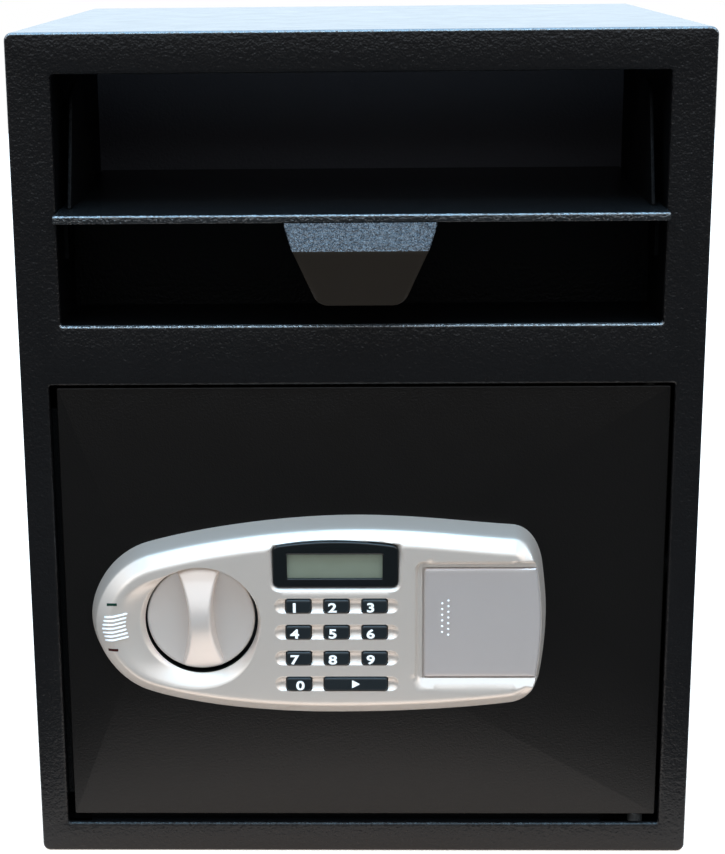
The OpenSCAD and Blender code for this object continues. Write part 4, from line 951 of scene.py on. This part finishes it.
def handle_sheet(bend):
    """A sheet bent once: a profile in y and z, rounded where it bends, whose width follows the height:
    x = +-w(z), drawn in at both faces by an edge rounding."""
    _, (low_y, _), (z_low, z_top) = spans("pull_handle")
    t, r, corner = HANDLE_SHEET, HANDLE_EDGE, HANDLE_CORNER
    z_bend = z_low + HANDLE_LOW
    front = np.array([[low_y + HANDLE_LEAN[0], z_top], [low_y, z_bend], [low_y + HANDLE_LEAN[1], z_low]])
    d1, d2 = unit(front[1] - front[0]), unit(front[2] - front[1])
    t1, t2 = front[1] - d1 * bend, front[1] + d2 * bend
    k = np.linspace(0, 1, 9)[:, None]
    curve = (1 - k) ** 2 * t1 + 2 * k * (1 - k) * front[1] + k * k * t2
    above = front[0] + (t1 - front[0]) * np.linspace(0, 1, 8)[:-1, None]
    near_end = 1 - 0.2 * (1 - np.sin(np.linspace(0, 1, 9) * np.pi / 2))
    down = np.concatenate([np.linspace(0, 1, 14)[1:-1] * 0.80, near_end])
    line = np.concatenate([above, curve, t2 + (front[2] - t2) * down[:, None]])
    tangent = unit(np.gradient(line, axis=0))
    z = line[:, 1]
    half = np.interp(z, [z_low, z_bend, z_top], np.array(HANDLE_WIDTHS) / 2)
    drop = np.clip(z_low + corner - z, 0, corner)
    half = (half - (corner - np.sqrt(corner ** 2 - drop ** 2)) * 0.85)[:, None] - r
    draw, gone = quarter(r).T
    across = np.linspace(-1, 1, 25)
    depth = np.concatenate([gone, t - gone[::-1]])
    out = r - np.concatenate([draw, draw[::-1]])
    x = np.concatenate([half + out[1:-1], across[::-1] * half, -(half + out[::-1][1:-1]), across * half], 1)
    depth = np.concatenate([depth[1:-1], np.full(len(across), t), depth[::-1][1:-1], np.zeros(len(across))])
    ring = np.stack([x, line[:, :1] - tangent[:, 1:] * depth, line[:, 1:] + tangent[:, :1] * depth], -1)
    points, (sides, *caps) = loft(ring)
    # The sides are split at the middle of the bend, so that the upper and lower part take differently lit
    # copies of the coat
    upper = (len(above) + len(curve) // 2) * ring.shape[1]
    return points, [sides[:upper], sides[upper:], *caps]


# Radius of the corners, roundings of the front and back edge, radii of the holes for shaft and screws
DOOR_CORNER, DOOR_EDGES, DOOR_HOLES = 1.0, (0.7, 0.3), (7, 2.2)


class MakeDoor(bpy.types.Operator):
    """Door plate with softened edges, its pan, cover, hinges and bolt work"""
    bl_idname = "drop_safe.door"
    bl_label = "Door"

    def execute(self, context):
        f = finishes()
        x, y, z = spans("door_plate")
        holes = [circle(*LOCK_PLACE + KNOB, DOOR_HOLES[0], 40)]
        holes += [circle(*LOCK_PLACE + screw, DOOR_HOLES[1], 20) for screw in SCREWS]
        loops = [fillet(box_outline(*x, *z), DOOR_CORNER, 3)] + [hole[::-1] for hole in holes]
        add_piece("door_sheet", [plate(loops, *y, "y", [DOOR_EDGES] + [(0, 0)] * len(holes))],
                  f["door"], "door", ["door_plate"])
        dress(f["door"], "door_pan", "back_cover")
        dress(f["coat"], "hinge_lugs")
        dress(f["zinc"], "cover_screws", "housing_screws", "carriage_guides", "solenoid_frame",
              "plunger_spring", "knob_shaft", "cam_disc", "bolt_carriage", "solenoid_plunger",
              "battery_contacts")
        dress(f["steel"], "lock_bolts")
        dress(f["bronze"], "shaft_bush")
        dress(f["copper"], "solenoid_coil")
        dress(f["key"], "reset_switch", "battery_tray")
        dress(f["red_plastic"], "reset_button")
        dress(f["board"], "circuit_board")
        dress(f["rubber"], "key_mat")
        dress(f["sleeve"], "battery_cells")
        return {"FINISHED"}


class MakeHousing(bpy.types.Operator):
    """Lock housing with its hollow, grooves and sunk field, the ribs and the two marks"""
    bl_idname = "drop_safe.housing"
    bl_label = "Lock housing"

    def execute(self, context):
        s, f = context.scene.drop_safe_lock, finishes()
        # The knob pocket's wall, floor and shaft hole (groups 2 to 5) take the black frame finish: painted
        # shade in the gap round the knob
        add_piece("lock_housing_shell", [from_lock(housing_shell(s))], f["silver"], "door", ["lock_housing"],
                  50, second=f["bezel_and_pocket_shade"], kinds=[2, 3, 4, 5])
        ribs = [from_lock(rib(*part, s)) for part in enumerate(RIB_ENDS)]
        # The ribs take the near-white rib finish: painted highlight on their tops
        add_piece("housing_ribs", ribs, f["rib"], "door", ())
        for node, x, z, look, slot in MARKS:
            add_piece(f"{node}_patch", [from_lock(patch(x, z, s))], f[look], "door", [node])
        return {"FINISHED"}


RIB_ENDS = ((8.6, 21.0), (8.1, 20.4), (7.55, 20.1), (7.1, 19.9), (7.5, 20.2), (8.15, 20.8), (8.6, 21.2))
RIB_TOP, RIB_PITCH, RIB_BEND_X, RIB_RISE = 4.8, 2.13, 13.3, 1.85 / 7.6
# Node, left end, middle height, finish and slot of the two marks, and their width and half height
MARKS = (("open_mark", 10.2, 11.7, "green", "green_paint"), ("shut_mark", 10.1, -13.45, "red", "red_plastic"))
MARK_SIZE = (5.6, 0.7)
# Share of the housing's fall by which ribs and marks are moved down, as they look from the front
SEEN_FALL = 0.28


def rib(k, ends, s):
    """A bent rib: z = level, then rising evenly past the bend, less a part of the housing's fall at its left
    end, with a rounded section that follows the housing."""
    x = np.linspace(*ends, 44)
    z = RIB_TOP - RIB_PITCH * k - soft_min(-RIB_RISE * (x - RIB_BEND_X), 0 * x, 0.15)
    z -= SEEN_FALL * (FACE - housing_height(x, z, s))
    across = np.linspace(-1, 1, 9)
    half = s.rib_width / MM / 2 * np.minimum(1, np.minimum(x - x[0] + 0.12, x[-1] - x + 0.12) / 0.6) ** 0.5
    pz = z[:, None] + across[None] * half[:, None]
    px = np.repeat(x[:, None], len(across), 1)
    crown = 0.9 * np.sqrt(np.maximum(1 - across ** 2, 0))[None] * (half / half.max())[:, None]
    return on_housing(px, pz, crown - 0.02, 0.6, s)


def patch(x, z, s):
    """A thin painted patch that lies on the housing."""
    w, half = MARK_SIZE
    px, pz = np.meshgrid(np.linspace(x, x + w, 14), np.linspace(z - half, z + half, 5), indexing="ij")
    return on_housing(px, pz - SEEN_FALL * (FACE - housing_height(px, pz, s)), 0.15, 0.3, s)


def on_housing(px, pz, proud, deep, s):
    """A grid that stands proud of the housing's front, closed by the same grid some way below it."""
    base = housing_height(px, pz, s)
    top = np.stack([px, pz, base + proud], -1)
    low = np.stack([px, pz, base - deep], -1)[:, ::-1]
    return loft(np.concatenate([top, low], 1))


class MakeKnob(bpy.types.Operator):
    """Knob: a dished disc with a rounded rim and a waisted grip across it"""
    bl_idname = "drop_safe.knob"
    bl_label = "Knob"

    def execute(self, context):
        s, f = context.scene.drop_safe_knob, finishes()
        add_piece("knob_body", [from_lock(knob_disc(s)), from_lock(knob_grip(s))], f["knob"], "knob_group",
                  ["knob"])
        return {"FINISHED"}


DISC_RADIUS, DISC_GAP, DISC_CHAMFER = 28.4, 0.8, 0.6
GRIP_TURN = 2.0
GRIP_RADIUS = 28.3
GRIP_FOOT_U, GRIP_SPREAD = 9.0, 1.6
GRIP_CREST_U, GRIP_SLOPE, GRIP_BEND = 22.0, 0.375, 8.0


def knob_disc(s):
    """A hollow r(u): u = rim - dip * (1 - (r / R)^2) inside a rounded rim of one quarter circle each way."""
    radius, rim, dip = DISC_RADIUS, s.rim_round / MM, s.dip / MM
    t = np.linspace(0, np.pi / 2, 7)
    outer = np.stack([radius - rim + rim * np.cos(t), RIM_U - rim + rim * np.sin(t)], 1)
    inner_r = np.linspace(radius - rim, 0, 30)
    run = inner_r / (radius - rim)
    inner = np.stack([inner_r, RIM_U - dip * (1 - run ** 2) * np.minimum(1, (1 - run) * 6 + 0.5)], 1)
    foot = POCKET_FLOOR_U + DISC_GAP
    profile = np.concatenate([[[0, foot], [radius - DISC_CHAMFER, foot], [radius, foot + DISC_CHAMFER]],
                              outer, inner[1:]])
    return lathe(profile, KNOB, 120)


def knob_grip(s):
    """Waisted outline x = +-w(z) with the disc's circle at its ends, carried up to a rounded back whose crest
    falls from the middle towards both ends: u = crest - slope * bend * log cosh(z / bend)."""
    end, waist, rounding = s.grip_end / MM / 2, s.grip_waist / MM / 2, s.grip_round / MM
    m, k = 41, 15
    sag = end - waist
    bow = (GRIP_RADIUS ** 2 + sag ** 2) / (2 * sag)

    def outline(draw):
        """The outline drawn in by some mm: sides from bottom to top on the right, then the end arcs."""
        r = GRIP_RADIUS - np.maximum(draw, 0)
        z_end = np.sqrt(r * r - (end - draw) ** 2)
        z = np.linspace(-1, 1, m) * z_end
        half = waist + bow - np.sqrt(bow * bow - z * z) - draw
        turn = np.arctan2(z_end, half[-1])
        a = np.linspace(turn, np.pi - turn, k)[1:-1]
        right = np.stack([half, z], 1)
        top = np.stack([r * np.cos(a), r * np.sin(a)], 1)
        return np.concatenate([right, top, -right, -top])

    rings = [at_height(outline(-GRIP_SPREAD), GRIP_FOOT_U)]
    for draw, down in quarter(rounding, 7):
        line = outline(draw)
        back = GRIP_CREST_U - GRIP_SLOPE * GRIP_BEND * np.log(np.cosh(line[:, 1] / GRIP_BEND))
        rings.append(at_height(line, back - down))
    rings = np.array(rings)
    turn = np.radians(GRIP_TURN)
    rings[..., :2] = KNOB + rings[..., :2] @ [[np.cos(turn), np.sin(turn)], [-np.sin(turn), np.cos(turn)]]
    n = rings.shape[1]
    faces = strips(n, len(rings))
    last = (len(rings) - 1) * n
    right = np.arange(m) + last
    left = (np.arange(m) + last + m + k - 2)[::-1]
    faces.append(np.stack([right[:-1], right[1:], left[1:], left[:-1]], -1))
    faces.append(np.arange(last + m - 1, last + m + k - 1)[None])
    faces.append(np.concatenate([np.arange(last + 2 * m + k - 3, last + n), [last]])[None])
    faces.append(np.arange(n)[None, ::-1])
    return rings.reshape(-1, 3), faces


class MakeKeys(bpy.types.Operator):
    """Eleven keys with rounded tops, ten printed digits and a plain mark on the wide key"""
    bl_idname = "drop_safe.keys"
    bl_label = "Keys"

    def execute(self, context):
        s, f = context.scene.drop_safe_keys, finishes()
        r = s.round_top / MM
        for name, x, z, w in key_places():
            outline = fillet(box_about(x, z, w, KEY_SIZE[1]), [KEY_LOW_CORNER] * 2 + [KEY_CORNER] * 2, 5)
            rings = [at_height(outline, KEY_FOOT_U)]
            rings += [key_ring(inset(outline, KEY_DRAW + r * draw), z, KEY_TOP_U - r * down, draw, down)
                      for draw, down in quarter(1, 6)]
            rings.append(key_ring(inset(outline, KEY_DRAW + r + 0.1), z, KEY_TOP_U, 1, 0))
            body, cap = f"key_{name}_body", from_lock(loft(rings))
            add_piece(f"key_{name}_cap", [cap], f["key"], body, [f"key_{name}"])
            if name == "start":
                mark = fillet(START_MARK + [x, z], 0.3, 3)
                part = from_lock(extruded(mark, KEY_TOP_U - START_DEEP, KEY_TOP_U + PRINT_PROUD))
                add_piece("key_start_mark", [part], f["digit"], body, ())
            else:
                add_digit(name, x + (ZERO_X if name == "0" else DIGIT_X), z + DIGIT_Z, s, f["digit"], body)
        return {"FINISHED"}


# A key's foot, how far its top is drawn in, and along its upper edge a slope's draw, drop and reach
KEY_FOOT_U, KEY_DRAW, KEY_SLOPE = 13.5, 0.25, (0.36, 0.35, 2.6)
START_MARK = np.array([[-2.0, -2.3], [2.3, 0], [-2.0, 2.3]])
PRINT_PROUD, DIGIT_DEEP, START_DEEP = 0.08, 0.06, 0.1
# Places of the digits from the middle of their keys; the zero stands further right
DIGIT_X, ZERO_X, DIGIT_Z, DIGIT_WIDEN = -2.1, 0.6, -0.8, 1.3


def key_ring(line, z, level, draw, drop):
    """A ring of a key: its upper half is drawn in and lowered further, for a slope along the upper edge."""
    inwards, down, reach = KEY_SLOPE
    up = np.maximum(line[:, 1] - z, 0)
    line = np.stack([line[:, 0], line[:, 1] - inwards * draw * up], 1)
    return at_height(line, level - down * drop * np.minimum(up, reach))


def add_digit(name, x, z, s, material, body):
    """One digit as a mesh, a little proud of its key."""
    curve = bpy.data.curves.new(f"digit_{name}", "FONT")
    curve.body = name
    curve.align_x, curve.align_y = "CENTER", "CENTER"
    curve.offset = s.digit_bold
    curve.extrude = 0.01
    curve.resolution_u = 6
    text = bpy.data.objects.new(f"digit_{name}_text", curve)
    bpy.context.scene.collection.objects.link(text)
    bpy.context.view_layer.update()
    made = bpy.data.meshes.new_from_object(text.evaluated_get(bpy.context.evaluated_depsgraph_get()))
    bpy.data.objects.remove(text)
    co = np.empty(len(made.vertices) * 3)
    made.vertices.foreach_get("co", co)
    co = co.reshape(-1, 3)
    low, high = co.min(0), co.max(0)
    tall = s.digit_height / MM / (high[1] - low[1])
    wide = tall * DIGIT_WIDEN
    px = x + (co[:, 0] - (low[0] + high[0]) / 2) * wide
    pz = z + (co[:, 1] - (low[1] + high[1]) / 2) * tall
    pu = KEY_TOP_U + np.where(co[:, 2] > 0, PRINT_PROUD, -DIGIT_DEEP)
    points, _ = from_lock((np.stack([px, pz, pu], 1), []))
    made.vertices.foreach_set("co", (points * MM).astype(np.float32).ravel())
    made.name = f"digit_{name}"
    made.update()
    made.materials.clear()
    made.materials.append(material)
    ride_along(f"digit_{name}", made, body)


# The ring's height is scaled from its lower to its upper edge, so that its front sinks towards the lower one
RING_BACK_U, RING_FRONT_U, RING_RISE = 17.3, 20.6, (0.36, 1.0)
GLASS_U = (8.6, 17.4)


class MakeDisplay(bpy.types.Operator):
    """Display frame with an arched top and a sloping window, and the empty display behind it"""
    bl_idname = "drop_safe.display"
    bl_label = "Display"

    def execute(self, context):
        f = finishes()
        x, z, w, h = GLASS
        outer = display_outline(0)
        window = fillet(box_about(x, z, w, h), 0.6, 3)[::-1]
        points, faces = plate([outer, window], RING_BACK_U, RING_FRONT_U, "z", [(0, 1.3), (0, 1.2)])
        rise = np.interp(points[:, 1], [outer[:, 1].min(), outer[:, 1].max()], RING_RISE)
        points[:, 2] = RING_BACK_U + (points[:, 2] - RING_BACK_U) * rise
        add_piece("display_frame_ring", [from_lock((points, faces))], f["bezel_and_pocket_shade"], "door", ["display_frame"])
        outline = box_outline(x - w / 2 - 2, x + w / 2 + 2, z - h / 2 - 1.5, z + h / 2 + 1.2)
        part = from_lock(extruded(fillet(outline, 0.6, 3), *GLASS_U))
        add_piece("display_glass", [part], f["glass"], "door", ["display_module"])
        return {"FINISHED"}


# Columns of dots: x, highest z and count
DOTS, DOT_PITCH, DOT_RADIUS = ((185.0, 11.2, 6), (188.2, 12.8, 7)), 3.13, 0.62


class MakeBatteryCover(bpy.types.Operator):
    """Battery cover that follows the housing's right end, with its dotted thumb grip"""
    bl_idname = "drop_safe.battery_cover"
    bl_label = "Battery cover"

    def execute(self, context):
        s, f = context.scene.drop_safe_lock, finishes()
        parts = [from_lock(cover_plate(s))]
        add_piece("battery_cover_plate", parts, f["cover"], "battery_cover_body", ["battery_cover"])
        dots = [from_lock(dot(x, z)) for x, top, count in DOTS for z in top - DOT_PITCH * np.arange(count)]
        # The dots take the near-white rib finish: painted highlight on their domes
        add_piece("battery_cover_dots", dots, f["rib"], "battery_cover_body", ())
        return {"FINISHED"}


def cover_top(line, s):
    """Height of the cover: the lesser of its own level and the housing's form."""
    return np.minimum(COVER_TOP_U, form_height(edge_distance(*line.T), *line.T, s))


def cover_plate(s):
    """The cover's top under a bevelled edge; its outline is a box with two round corners, cut on the right at
    an even distance from the housing's end."""
    low, high = COVER_LOW, COVER_HIGH
    z = np.linspace(low, high, 60)
    x = np.full(len(z), 230.0)
    for _ in range(12):
        x += (edge_distance(x, z) - COVER_EDGE) * 0.9
    left = fillet([[x[-1], high], [COVER_X, high], [COVER_X, low], [x[0], low]], [0.01, 1.9, 1.5, 0.01], 8)
    upper, lower = left[9:18], left[18:27]
    ends = (left[8], upper[0]), (upper[-1], lower[0]), (lower[-1], left[27])
    straight = [polyline(pair, 1.2)[1:-1] for pair in ends]
    outer = np.concatenate([[[x[-1], high]], straight[0], upper, straight[1], lower, straight[2],
                            np.stack([x, z], 1)[:-1]])
    rows = [at_height(outer, COVER_BACK_U)]
    for draw, down in ((0, 1.0), (0.1, 0.8), (0.8, 0.1), (1.0, 0)):
        line = inset(outer, draw)
        rows.append(at_height(line, np.maximum(cover_top(line, s) - down, COVER_BACK_U + 0.02)))
    n = len(outer)
    faces = strips(n, len(rows))
    fill = grid(np.arange(COVER_X + 3, 238, 3.0), np.arange(low + 3, high - 2, 3.0))
    fill = fill[inside(fill, [RIM]) & (edge_distance(*fill.T) > COVER_EDGE + 3.6)]
    edge = np.concatenate([np.stack([x - d, z], 1)[2:-2] for d in (1.4, 1.9, 2.5, 3.2)])
    fill = np.concatenate([edge, fill])
    numbers = np.arange(n + len(fill)) + (len(rows) - 1) * n
    faces.append(numbers[triangles(np.concatenate([line, fill]), [line])])
    faces.append(np.arange(n)[None, ::-1])
    return np.concatenate(rows + [at_height(fill, cover_top(fill, s))]), faces


def dot(x, z):
    """A low dome."""
    t = np.linspace(0, np.pi / 2, 5)
    dome = np.stack([DOT_RADIUS * np.cos(t), COVER_TOP_U + 0.5 * np.sin(t)], 1)
    foot = [[0, COVER_TOP_U - 0.3], [DOT_RADIUS, COVER_TOP_U - 0.3]]
    return lathe(np.concatenate([foot, dome]), (x, z), 12)


WARM, COOL = (1.0, 0.88, 0.77), (0.6, 0.84, 1.0)
# Name, place and size in metres, power in watts and colour; each lamp aims at the safe
LAMPS = (("lamp_above", (0.0, -0.8, 1.55), (1.7, 0.14), 10, COOL),
         ("lamp_left", (-1.9, -1.5, 1.3), (1.2, 1.2), 5.6, WARM),
         ("lamp_right", (2.0, -1.2, 1.2), (1.2, 1.2), 5.6, WARM),
         ("lamp_back", (0.0, 1.9, 1.7), (2.2, 1.6), 8, (0.9, 0.96, 1.0)))
# Sizes of the picture that the camera was fitted to, focal length and shift of its middle, all in pixels
PICTURE, FOCAL, SHIFT = 854, 2004.06, (54.6, 66.0)
CAMERA_PLACE = (-0.00036, -1.1682, 0.4829)
PITCH, YAW, ROLL = (math.radians(v) for v in (15.57, -1.56, -0.60))
WHITE = (1.0, 1.0, 1.0)
# Sky in front of the safe and behind it: sine of the elevation, and colour as a share of the sky's strength
SKY = 5.0
SKY_FRONT = ((0.0, (0.022, 0.019, 0.017)), (0.17, (0.055, 0.052, 0.05)), (0.31, (0.25, 0.26, 0.27)),
             (0.5, (0.36, 0.39, 0.42)), (0.8, (0.23, 0.32, 0.41)), (0.88, (0.23, 0.37, 0.53)),
             (0.95, (0.36, 0.68, 1.0)))
SKY_BACK = ((0.0, (0.235, 0.275, 0.31)), (0.25, (0.17, 0.22, 0.27)), (0.55, (0.09, 0.17, 0.27)),
            (0.8, (0.21, 0.32, 0.45)), (0.93, (0.42, 0.66, 0.95)))


class MakeStage(bpy.types.Operator):
    """Pale floor, soft studio light and the camera"""
    bl_idname = "drop_safe.stage"
    bl_label = "Stage"

    def execute(self, context):
        scene = context.scene
        mesh = bpy.data.meshes.new("floor")
        mesh.from_pydata([(-4, -4, 0), (4, -4, 0), (4, 4, 0), (-4, 4, 0)], [], [(0, 1, 2, 3)])
        floor = bpy.data.objects.new("floor", mesh)
        scene.collection.objects.link(floor)
        mesh.materials.append(floor_finish(scene.drop_safe_colours.floor))

        for name, place, size, watts, tint in LAMPS:
            lamp = bpy.data.lights.new(name, "AREA")
            lamp.shape = "RECTANGLE"
            lamp.size, lamp.size_y = size
            lamp.energy = watts
            lamp.color = tint
            holder = bpy.data.objects.new(name, lamp)
            holder.location = place
            aim = Vector((0, 0, 0.2)) - Vector(place)
            holder.rotation_euler = aim.to_track_quat("-Z", "Y").to_euler()
            scene.collection.objects.link(holder)
        studio_world(scene)

        scene.view_settings.view_transform = "Standard"
        camera = bpy.data.cameras.new("camera")
        holder = bpy.data.objects.new("camera", camera)
        camera.sensor_width = 36
        camera.lens = FOCAL * camera.sensor_width / PICTURE
        camera.shift_x, camera.shift_y = SHIFT[0] / PICTURE, SHIFT[1] / PICTURE
        camera.clip_start, camera.clip_end = 0.01, 50
        ahead = Vector((math.sin(YAW) * math.cos(PITCH), math.cos(YAW) * math.cos(PITCH), -math.sin(PITCH)))
        right = Vector((math.cos(YAW), -math.sin(YAW), 0))
        up = right.cross(ahead)
        right, up = math.cos(ROLL) * right + math.sin(ROLL) * up, math.cos(ROLL) * up - math.sin(ROLL) * right
        axes = Matrix((right, up, -ahead)).transposed().to_4x4()
        holder.matrix_world = Matrix.Translation(CAMERA_PLACE) @ axes
        scene.collection.objects.link(holder)
        scene.camera = holder
        return {"FINISHED"}


def studio_world(scene):
    """A sky that is dim at the horizon and bright higher up in front, and white where the camera sees it."""
    world = bpy.data.worlds.new("studio")
    scene.world = world
    world.use_nodes = True
    tree = world.node_tree
    split = tree.nodes.new("ShaderNodeSeparateXYZ")
    feed(tree, split.inputs[0], shader_node(tree, "TexCoord", "Generated", {}))
    front, back = (sky_ramp(tree, split.outputs["Z"], steps) for steps in (SKY_FRONT, SKY_BACK))
    sky = blend(tree, soft_range(tree, split.outputs["Y"], -0.1, 0.5), front, back)
    seen = shader_node(tree, "LightPath", "Is Camera Ray", {})
    shade = tree.nodes["Background"].inputs
    feed(tree, shade["Strength"], SKY)
    feed(tree, shade["Color"], blend(tree, seen, sky, [c / SKY for c in WHITE]))


def sky_ramp(tree, value, steps):
    """A colour that runs through the steps as the value rises."""
    ramp = tree.nodes.new("ShaderNodeValToRGB")
    tree.links.new(value, ramp.inputs["Fac"])
    for k, (at, tint) in enumerate(steps):
        stop = ramp.color_ramp.elements[k] if k < 2 else ramp.color_ramp.elements.new(at)
        stop.position, stop.color = at, (*tint, 1)
    return ramp.outputs["Color"]


FLOOR_FAR, FLOOR_GLOW = (0.08, 0.064, 0.055), (1.0, 0.77, 0.63)


def floor_finish(tone):
    """A pale floor that the camera sees a little brighter, with its shadows kept. Glossy surfaces see it glow
    beside the safe and dark away from it."""
    made = finish("floor_paint", tone, [c * 0.985 for c in tone], 0.4, 0.7, 0.03, 0, 0.2)
    tree = made.node_tree
    shader = tree.nodes["Principled BSDF"].inputs
    seen = tree.nodes.new("ShaderNodeLightPath").outputs
    camera, glossy = seen["Is Camera Ray"], seen["Is Glossy Ray"]
    place = shader_node(tree, "TexCoord", "Object", {})
    away = shader_node(tree, "VectorMath", "Value", {0: place}, operation="LENGTH")
    far = maths(tree, "MULTIPLY", soft_range(tree, away, 0.22, 0.38), glossy)
    near = maths(tree, "SUBTRACT", glossy, far)
    glow = maths(tree, "MAXIMUM", maths(tree, "MULTIPLY", camera, 0.5), maths(tree, "MULTIPLY", near, 0.75))
    base = shader["Base Color"].links[0].from_socket
    feed(tree, shader["Base Color"], blend(tree, far, base, FLOOR_FAR))
    feed(tree, shader["Emission Color"], blend(tree, camera, FLOOR_GLOW, WHITE))
    feed(tree, shader["Emission Strength"], glow)
    return made


class DropSafePanel(bpy.types.Panel):
    """Lists the safe's sizes, colours and pieces"""
    bl_idname = "VIEW3D_PT_drop_safe"
    bl_label = "Drop safe"
    bl_space_type = "VIEW_3D"
    bl_region_type = "UI"
    bl_category = "Drop safe"

    def draw(self, context):
        for group in GROUPS:
            box = self.layout.box()
            settings = getattr(context.scene, GROUPS[group])
            for name in group.__annotations__:
                box.prop(settings, name)
        for kind in OPERATORS:
            self.layout.operator(kind.bl_idname)


GROUPS = {
    DropSafeSheetSizes: "drop_safe_sheet",
    DropSafeLockSizes: "drop_safe_lock",
    DropSafeKnobSizes: "drop_safe_knob",
    DropSafeKeySizes: "drop_safe_keys",
    DropSafeColours: "drop_safe_colours",
}
OPERATORS = (MakeCabinet, MakeHopper, MakeDoor, MakeHousing, MakeKnob, MakeKeys, MakeDisplay,
             MakeBatteryCover, MakeStage)


def register():
    for kind in (*GROUPS, *OPERATORS, DropSafePanel):
        bpy.utils.register_class(kind)
    for group, name in GROUPS.items():
        setattr(bpy.types.Scene, name, PointerProperty(type=group))


def unregister():
    for name in GROUPS.values():
        delattr(bpy.types.Scene, name)
    for kind in reversed((*GROUPS, *OPERATORS, DropSafePanel)):
        bpy.utils.unregister_class(kind)


def main():
    register()
    for kind in OPERATORS:
        group, name = kind.bl_idname.split(".")
        getattr(getattr(bpy.ops, group), name)()


if __name__ == "__main__":
    main()
